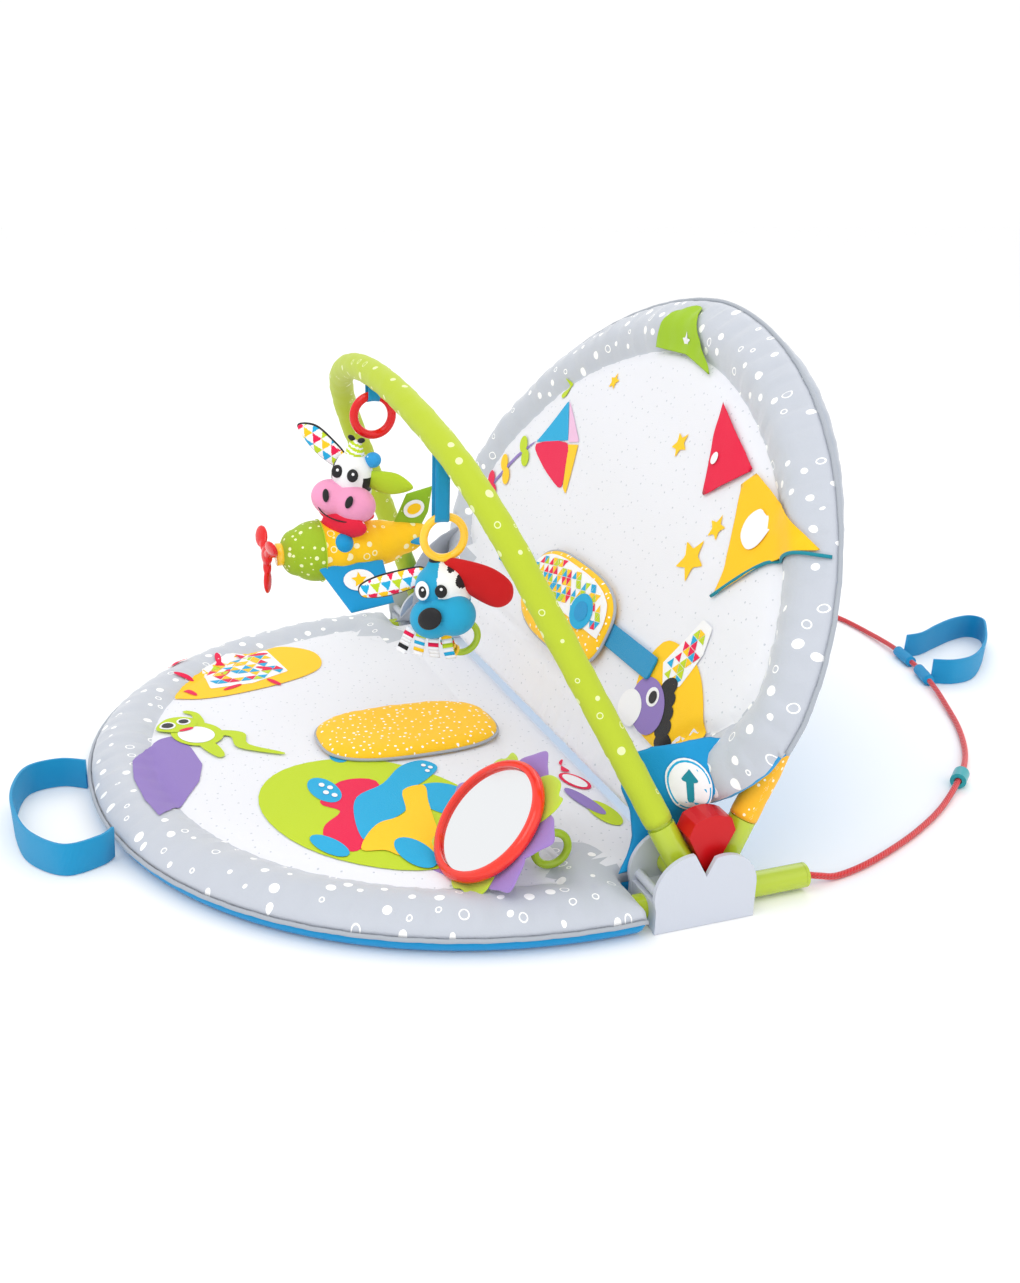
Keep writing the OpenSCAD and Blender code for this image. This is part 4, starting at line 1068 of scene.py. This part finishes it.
def make_calf():
    here = Matrix.Translation((0, -0.186, 0)) @ turned("Z", 47)
    tilt = here @ Matrix.Translation((0, 0, 0.290)) @ turned("Y", 8) @ Matrix.Translation((0, 0, -0.290))

    def coat(p):
        x, z = p[:, 0], p[:, 2]
        return ((x < -0.0135) & (z > 0.298)) | ((x > 0.016) & (z > 0.292) & (z < 0.306))

    head = stuffed("calf_skull", [((0, 0, 0.303), (0.0195, 0.018, 0.023), None),
                                  ((0, 0.002, 0.288), (0.019, 0.018, 0.018), None)],
                   [PLUSH_WHITE, BLACK], tilt, coat)
    muzzle = stuffed("calf_muzzle", [((-0.011, -0.012, 0.2805), (0.021, 0.017, 0.0175), None),
                                     ((0.011, -0.012, 0.2805), (0.021, 0.017, 0.0175), None)], [PINK], tilt)
    bits = [head, muzzle]
    for x in (-0.0075, 0.0085):
        bits += [disc((x, -0.0168, 0.3085), (0.1 * x, -1, 0.25), 0.0056, 0.0060, 0.002, [BLACK], tilt),
                 disc((x + 0.0012, -0.0186, 0.3105), (0, -1, 0.25), 0.0014, 0.0014, 0.001, [BLANK], tilt)]
    for x, turn in ((-0.0100, 14), (0.0140, -14)):
        bits.append(disc((x, -0.0290, 0.2875), (x * 9, -1, 0.15), 0.0034, 0.0062, 0.0016, [BLACK], tilt,
                         turn))
    smile = [(-0.022, -0.0215, 0.280), (-0.016, -0.0270, 0.2725), (-0.004, -0.0290, 0.2680),
             (0.010, -0.0275, 0.2670), (0.018, -0.0235, 0.2690)]
    line = sweep("smile", spline(smile, 6), 0.0006, [BLACK], 8)
    line.data.transform(tilt)
    horn = stuffed("horn", [((0, 0.0, 0.324), (0.0090, 0.0085, 0.0085), None),
                            ((0, 0, 0.331), (0.007, 0.006, 0.006), None)],
                   [LIME,
                    BLANK], tilt, lambda p: (np.sin((p[:, 2] + 0.25 * p[:, 0]) * 1500) > 0.2).astype(int))
    nub = stuffed("nub", [((0.0175, 0.003, 0.3215), (0.0085, 0.006, 0.0075), turned("Y", -30))], [HORN_BLUE],
                  tilt)
    tie = stuffed("tie", [((-0.005, 0, 0.3375), (0.004, 0.003, 0.0025), turned("Y", 20)),
                          ((0.005, 0, 0.3375), (0.004, 0.003, 0.0025), turned("Y", -20))], [BLACK], tilt,
                  voxel=0.0006)
    outline = [(0, -0.007), (-0.020, -0.0100), (-0.040, -0.007), (-0.054, 0), (-0.040, 0.0105),
               (-0.020, 0.0105),
               (0, 0.006)]
    left = patched_ear("ear_left", outline, 0.0030,
                       tilt @ Matrix.Translation((-0.013, 0.003, 0.312)) @ turned("Y", 24), 0.1, 0.0105)
    back = leaf("ear_back", [(x * 1.04, z * 1.12) for x, z in outline], 0.0016, [BLACK],
                tilt @ Matrix.Translation((-0.013, 0.0052, 0.3116)) @ turned("Y", 24))
    right = leaf("ear_right", [(0, -0.007), (0.018, -0.0115), (0.034, -0.008), (0.046, 0.000),
                               (0.032, 0.009),
                               (0.016, 0.0095), (0, 0.006)], 0.0036, [PLUSH_LIME],
                 tilt @ Matrix.Translation((0.015, 0.003, 0.3035)) @ turned("Y", -4))
    head = joined("calf_plush", bits + [line, horn, nub, tie, left, back, right])
    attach(head, "plane_toy")
    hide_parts("calf_head")
    scarf = stuffed("calf_scarf", [((0, -0.004, 0.2665), (0.0245, 0.022, 0.0068), turned("X", -8)),
                                   ((0.003, -0.0195, 0.2600), (0.0235, 0.0075, 0.0125), turned("X", 18)),
                                   ((-0.017, -0.014, 0.2700), (0.010, 0.006, 0.0075), turned("Y", 30))],
                    [BANDANA], here)
    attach(scarf, "plane_toy")
    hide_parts("calf_bandana")


def make_plane():
    here = Matrix.Identity(4)
    parts = [((0, -0.2200, 0.2325), (0.0285, 0.0300, 0.0285), None),
             ((0, -0.2000, 0.2325), (0.0285, 0.030, 0.0285), None),
             ((0, -0.1800, 0.2335), (0.0265, 0.032, 0.0265), None),
             ((0, -0.1600, 0.2355), (0.0215, 0.030, 0.0215), None),
             ((0, -0.1400, 0.2385), (0.0160, 0.026, 0.0165), None),
             ((0, -0.1270, 0.2415), (0.0110, 0.018, 0.0120), None),
             ((0, -0.2400, 0.2325), (0.0215, 0.014, 0.0215), None)]

    def coat(p):
        return (p[:, 1] < -0.2165).astype(int)

    body = stuffed("plane_plush", parts, [PLANE_YELLOW, PLANE_GREEN], here, coat, rounds=14)
    seam = [(0.0290 * math.cos(a), -0.2165, 0.2325 + 0.0290 * math.sin(a))
            for a in np.linspace(0, 6.283, 49)[:-1]]
    seam = sweep("nose_seam", seam, 0.0005, [LIME], 8, closed=True)
    collar = sweep("nose_collar", [(0, -0.2500, 0.2320), (0, -0.2575, 0.2320)], 0.0105, [GOLD_PLASTIC], 24)
    patch = stuffed("belly_patch", [((0.016, -0.1990, 0.2430), (0.014, 0.011, 0.0110), turned("X", 20))],
                    [BLUE], here)
    body = joined("plane_plush", [body, seam, collar, patch])
    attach(body, "plane_toy")
    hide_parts("plane_body")
    wings = []
    shape = [(-0.033, 0.002), (0.031, 0.002), (0.034, -0.041), (-0.008, -0.047)]
    for side in (1, -1):
        seat = Matrix.Translation((side * 0.0240, -0.1930, 0.2240))
        way = seat @ turned("Y", side * -38) @ turned("Z", 90 * side)
        badge = lambda at: printed(at, ellipse(0.004, -0.017, 0.0150, 0.0105), BLANK, 1, 0.003)
        mark = lambda at: printed(at, star(0.004, -0.017, 0.0080), YELLOW, 2, 0.003)
        points = [(x * side, z) for x, z in shape]
        wing = leaf("wing", points, 0.0032, [BLUE], way, [badge, mark], False)
        wings.append(wing)
    wings = joined("plane_wing_cloth", wings)
    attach(wings, "plane_toy")
    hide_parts("plane_wings")
    way = Matrix.Translation((0.0, 0.0, 0.0)) @ turned("Z", 90)
    fin = leaf("plane_fin", [(-0.146, 0.250), (-0.132, 0.281), (-0.106, 0.287), (-0.110, 0.262),
                             (-0.118, 0.247)], 0.0032,
               [FIN_GREEN], way,
               [lambda at: printed(at, ellipse(-0.1255, 0.267, 0.0105, 0.0085, 20), BLANK, 1, 0.003),
                                  lambda at: printed(at,
                                                     ellipse(-0.1255, 0.267, 0.0070, 0.0050, 20),
                                                     YELLOW, 2, 0.003)],
               False)
    flat = stuffed("stabiliser", [((0.0, -0.1240, 0.2380), (0.024, 0.011, 0.0035), None)], [BLUE], here,
                   voxel=0.0009)
    fin = joined("plane_fin", [fin, flat])
    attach(fin, "plane_toy")
    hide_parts("plane_tail")


def make_propeller():
    blades = []
    for a in (30, 150, 270):
        arm = turned("Y", -a)
        parts = [((0.011, 0, 0), (0.0095, 0.0040, 0.0042), None),
                 ((0.0245, 0, 0), (0.0125, 0.0032, 0.0085), turned("X", 28))]
        parts = [(arm @ Vector(c), r, arm @ (t or Matrix())) for c, r, t in parts]
        blades += [(tuple(c), r, t) for c, r, t in parts]
    blades.append(((0, 0, 0), (0.0095, 0.0050, 0.0095), None))
    spin = stuffed("propeller_blades", blades, [RED_PLASTIC], Matrix.Translation((0, -0.2662, 0.232)),
                   voxel=0.0008,
                   rounds=10)
    shaft = sweep("shaft", [(0, -0.2520, 0.232), (0, -0.2640, 0.232)], 0.0028, [GOLD_PLASTIC], 16)
    spin = joined("propeller_blades", [spin, shaft])
    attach(spin, "propeller")
    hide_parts("propeller")


def make_puppy():
    here = Matrix.Translation((0.160, -0.1498, 0)) @ turned("Z", 56)
    tilt = here @ Matrix.Translation((0, 0, 0.235)) @ turned("Y", -14) @ Matrix.Translation((0, 0, -0.235))

    def coat(p):
        x, z = p[:, 0], p[:, 2]
        kinds = np.zeros(len(p), int)
        kinds[(x > 0.0015 + 0.15 * (z - 0.24)) & (z > 0.2300) & (p[:, 1] < 0.012)] = 1
        spot = np.hypot(x - 0.0235, (z - 0.2480) * 0.8) < 0.0060
        kinds[spot] = 2
        kinds[np.hypot(x - 0.0150, z - 0.2600) < 0.0035] = 2
        return kinds

    skull = [((0, 0, 0.243), (0.0225, 0.0205, 0.0215), None),
             ((0.001, 0, 0.232), (0.0225, 0.020, 0.018), None),
             ((0, 0, 0.262), (0.0085, 0.008, 0.007), None)]
    head = stuffed("puppy_skull", skull, [PLUSH_BLUE, PLUSH_WHITE, BLACK], tilt, coat, rounds=6)
    muzzle = stuffed("puppy_muzzle", [((-0.010, -0.012, 0.2205), (0.0195, 0.0170, 0.0180), None),
                                      ((0.009, -0.012, 0.2205), (0.0195, 0.0170, 0.0180), None),
                                      ((0, -0.014, 0.2290), (0.0120, 0.0130, 0.0110), None)], [PLUSH_BLUE],
                     tilt)
    bits = [head, muzzle,
            disc((-0.006, -0.0300, 0.2255), (-0.15, -1, 0.2), 0.0115, 0.0092, 0.0035, [BLACK], tilt, 18),
            disc((-0.0105, -0.0195, 0.2475), (-0.35, -1, 0.3), 0.0072, 0.0082, 0.0022, [BLANK], tilt),
            disc((-0.0098, -0.0213, 0.2470), (-0.35, -1, 0.3), 0.0042, 0.0052, 0.0018, [BLACK], tilt),
            disc((0.0060, -0.0208, 0.2450), (0.25, -1, 0.3), 0.0052, 0.0056, 0.0018, [BLACK], tilt),
            disc((0.0072, -0.0224, 0.2472), (0.25, -1, 0.3), 0.0013, 0.0013, 0.001, [BLANK], tilt),
            disc((-0.0088, -0.0226, 0.2490), (-0.3, -1, 0.3), 0.0013, 0.0013, 0.001, [BLANK], tilt)]
    for x, z in ((-0.022, 0.2130), (-0.0180, 0.2080), (0.0170, 0.2120), (0.0130, 0.2095), (0.0165, 0.2065)):
        bits.append(disc((x, -0.0262 + 6 * abs(x) ** 1.5, z), (x * 12, -1, -0.4), 0.0012, 0.0012, 0.0012,
                         [BLANK], tilt))
    bits.append(stuffed("pompom", [((0.001, 0, 0.2665), (0.0062, 0.0062, 0.0062), None)], [BLACK], tilt,
                        voxel=0.0009))
    long_ear = [(0, -0.006), (-0.022, -0.0095), (-0.046, -0.0085), (-0.061, -0.0040), (-0.060, 0.0050),
                (-0.044, 0.0085), (-0.020, 0.0080), (0, 0.005)]
    left_at = tilt @ Matrix.Translation((-0.012, 0.001, 0.2565)) @ turned("Y", -8)
    right_at = tilt @ Matrix.Translation((0.008, 0.000, 0.2620)) @ turned("Y", 35)
    ears = [patched_ear("puppy_ear", long_ear, 0.0030, left_at, -0.1, 0.0100),
            leaf("puppy_ear", [(x * 1.03, z * 1.13) for x, z in long_ear], 0.0016, [BLACK],
                 left_at @ Matrix.Translation((0, 0.0022, 0))),
            leaf("puppy_ear", [(0, -0.006), (0.018, -0.0130), (0.040, -0.0165), (0.056, -0.0145),
                               (0.0635, -0.003),
                               (0.058, 0.0105), (0.040, 0.0155), (0.018, 0.0125), (0, 0.006)], 0.0042,
                 [PLUSH_RED],
                 right_at)]
    head = joined("puppy_plush", bits)
    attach(head, "puppy_toy")
    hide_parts("puppy_head")
    ears = joined("puppy_ear_cloth", ears)
    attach(ears, "puppy_toy")
    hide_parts("puppy_ears")
    tags = []
    colours = [BLANK, CYAN, CRIMSON, LIME, BLACK, YELLOW]
    for k in range(4):
        x0 = 0.0095 * k - 0.0250
        turn = here @ Matrix.Translation((x0, -0.009, 0.206)) @ turned("Y", 24 - 13 * k)
        for j in range(7):
            line = resampled([(-0.0046, -0.0036 * j), (0.0046, -0.0036 * j), (0.0046, -0.0036 * j - 0.0036),
                              (-0.0046, -0.0036 * j - 0.0036)], 0.0018)
            flat, faces = fill(line, 0.002)
            y = 0.0016 * np.sin(flat[:, 1] * 260 + k)
            strip = add_mesh("tag", np.stack([flat[:, 0], y, flat[:, 1]], 1), faces,
                             [colours[(2 * j + k) % 6 if j % 2 else 0]], None, flat)
            strip.data.transform(turn)
            tags.append(strip)
    tags = joined("puppy_tags", tags)
    thick = tags.modifiers.new("thick", "SOLIDIFY")
    thick.thickness = 0.0009
    baked(tags)
    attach(tags, "puppy_toy")
    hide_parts("puppy_ribbons")


def make_loops():
    """The blue tabs sewn under the arch that the two rings hang in."""
    for name, node, x, h, wire_z, wire, width in (
            ("plane_tab", "plane_loop", 0.0, 0.393, 0.37534, 0.0040, 0.0110),
            ("puppy_tab", "puppy_strap", 0.160, 0.3666, 0.3050, 0.0035, 0.0125)):
        top = in_arch(x, h)
        r = wire + 0.0009
        up = [(r, z) for z in np.linspace(wire_z, top[2] - 0.0112, 5)]
        turn = [(r * math.cos(a), wire_z + r * math.sin(a)) for a in np.linspace(0, -math.pi, 13)]
        line = resampled(up[::-1] + turn[1:-1] + [(-a, z) for a, z in up], 0.0012, False)
        verts, faces, uv = [], [], []
        for i, (a, z) in enumerate(line):
            for side in (-1, -0.5, 0, 0.5, 1):
                verts.append((x + a, top[1] + side * width / 2, z + 0.0004 * math.cos(side * 2)))
                uv.append((i * 0.0012, side * width / 2))
        for i in range(len(line) - 1):
            faces += [(5 * i + k, 5 * i + k + 1, 5 * i + k + 6, 5 * i + k + 5) for k in range(4)]
        tab = add_mesh(name, verts, faces, [WEBBING], None, uv)
        thick = tab.modifiers.new("thick", "SOLIDIFY")
        thick.thickness, thick.offset = 0.0011, 0
        baked(tab)
        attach(tab, "arch")
        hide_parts(node)


def clamp_above(obj, floor):
    """Soft pieces that rest on the mat flatten against it."""
    for v in obj.data.vertices:
        if v.co.z < floor:
            v.co.z = floor - 0.12 * (floor - v.co.z)


def make_mirror():
    here = Matrix.Translation((0.264, -0.144, 0.072)) @ turned("Z", 4.4) @ turned("X", 45.2)
    petals = []
    for k in range(9):
        a = 20 + 40 * k
        long = 0.076 if k % 2 == 0 else 0.072
        points = [(0.040, -0.020), (0.058, -0.020), (0.068, -0.010), (long, 0.002), (0.066, 0.012),
                  (0.056, 0.021),
                  (0.040, 0.020)]
        if k % 2:
            points = [(0.040, -0.020), (0.056, -0.022), (0.066, -0.014), (0.070, -0.004), (0.067, 0.006),
                      (0.070, 0.013), (0.058, 0.021), (0.040, 0.020)]
        way = here @ Matrix.Translation((0, 0, -0.0080)) @ turned("Z", a) @ turned("X", 90 + 5 * (k % 3 - 1))
        petals.append(leaf("petal", points, 0.0014, [PETALS[k % 2]], way))
    petals = joined("mirror_felt", petals)
    clamp_above(petals, 0.0325)
    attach(petals, "floor_frame")
    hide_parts("mirror_petals")
    back = stuffed("mirror_plush", [((0, 0, -0.0155), (0.0495, 0.0495, 0.0090), None)], [PETALS[0]], here,
                   rounds=4)
    clamp_above(back, 0.0325)
    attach(back, "floor_frame")
    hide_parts("mirror_backing")


for side, name in ((1, "wall_left"), (-1, "wall_right")):
    make_wall(side, name)
finish_nodes()
make_covers()
make_cord()
make_harness()
make_calf()
make_plane()
make_propeller()
make_puppy()
make_loops()
make_mirror()


# ---------------------------------------------------------------- floor, light and finish
def make_stage():
    floor = add_mesh("floor", [(-6, -6, -0.0004), (6, -6, -0.0004), (6, 6, -0.0004), (-6, 6, -0.0004)],
                     [(0, 1, 2, 3)],
                     [material("floor_white", "FDFDFD", 0.9, Specular_IOR_Level=0.1)])
    world = bpy.data.worlds.new("studio")
    world.use_nodes = True
    world.node_tree.nodes["Background"].inputs[0].default_value = (1, 1, 1, 1)
    world.node_tree.nodes["Background"].inputs[1].default_value = 1.02
    scene.world = world
    lamps = (("key", (0.9, -1.0, 2.1), 1.5, 12), ("fill", (1.8, 0.9, 1.3), 1.6, 3),
             ("back", (-1.2, 1.4, 1.8), 1.4, 8))
    for name, spot, size, power in lamps:
        data = bpy.data.lights.new(name, "AREA")
        data.size, data.energy = size, power
        lamp = bpy.data.objects.new(name, data)
        lamp.location = spot
        lamp.rotation_euler = (Vector((0, 0, 0.15)) - Vector(spot)).to_track_quat("-Z", "Y").to_euler()
        scene.collection.objects.link(lamp)
    scene.view_settings.view_transform = "Standard"
    scene.view_settings.look = "None"


make_stage()
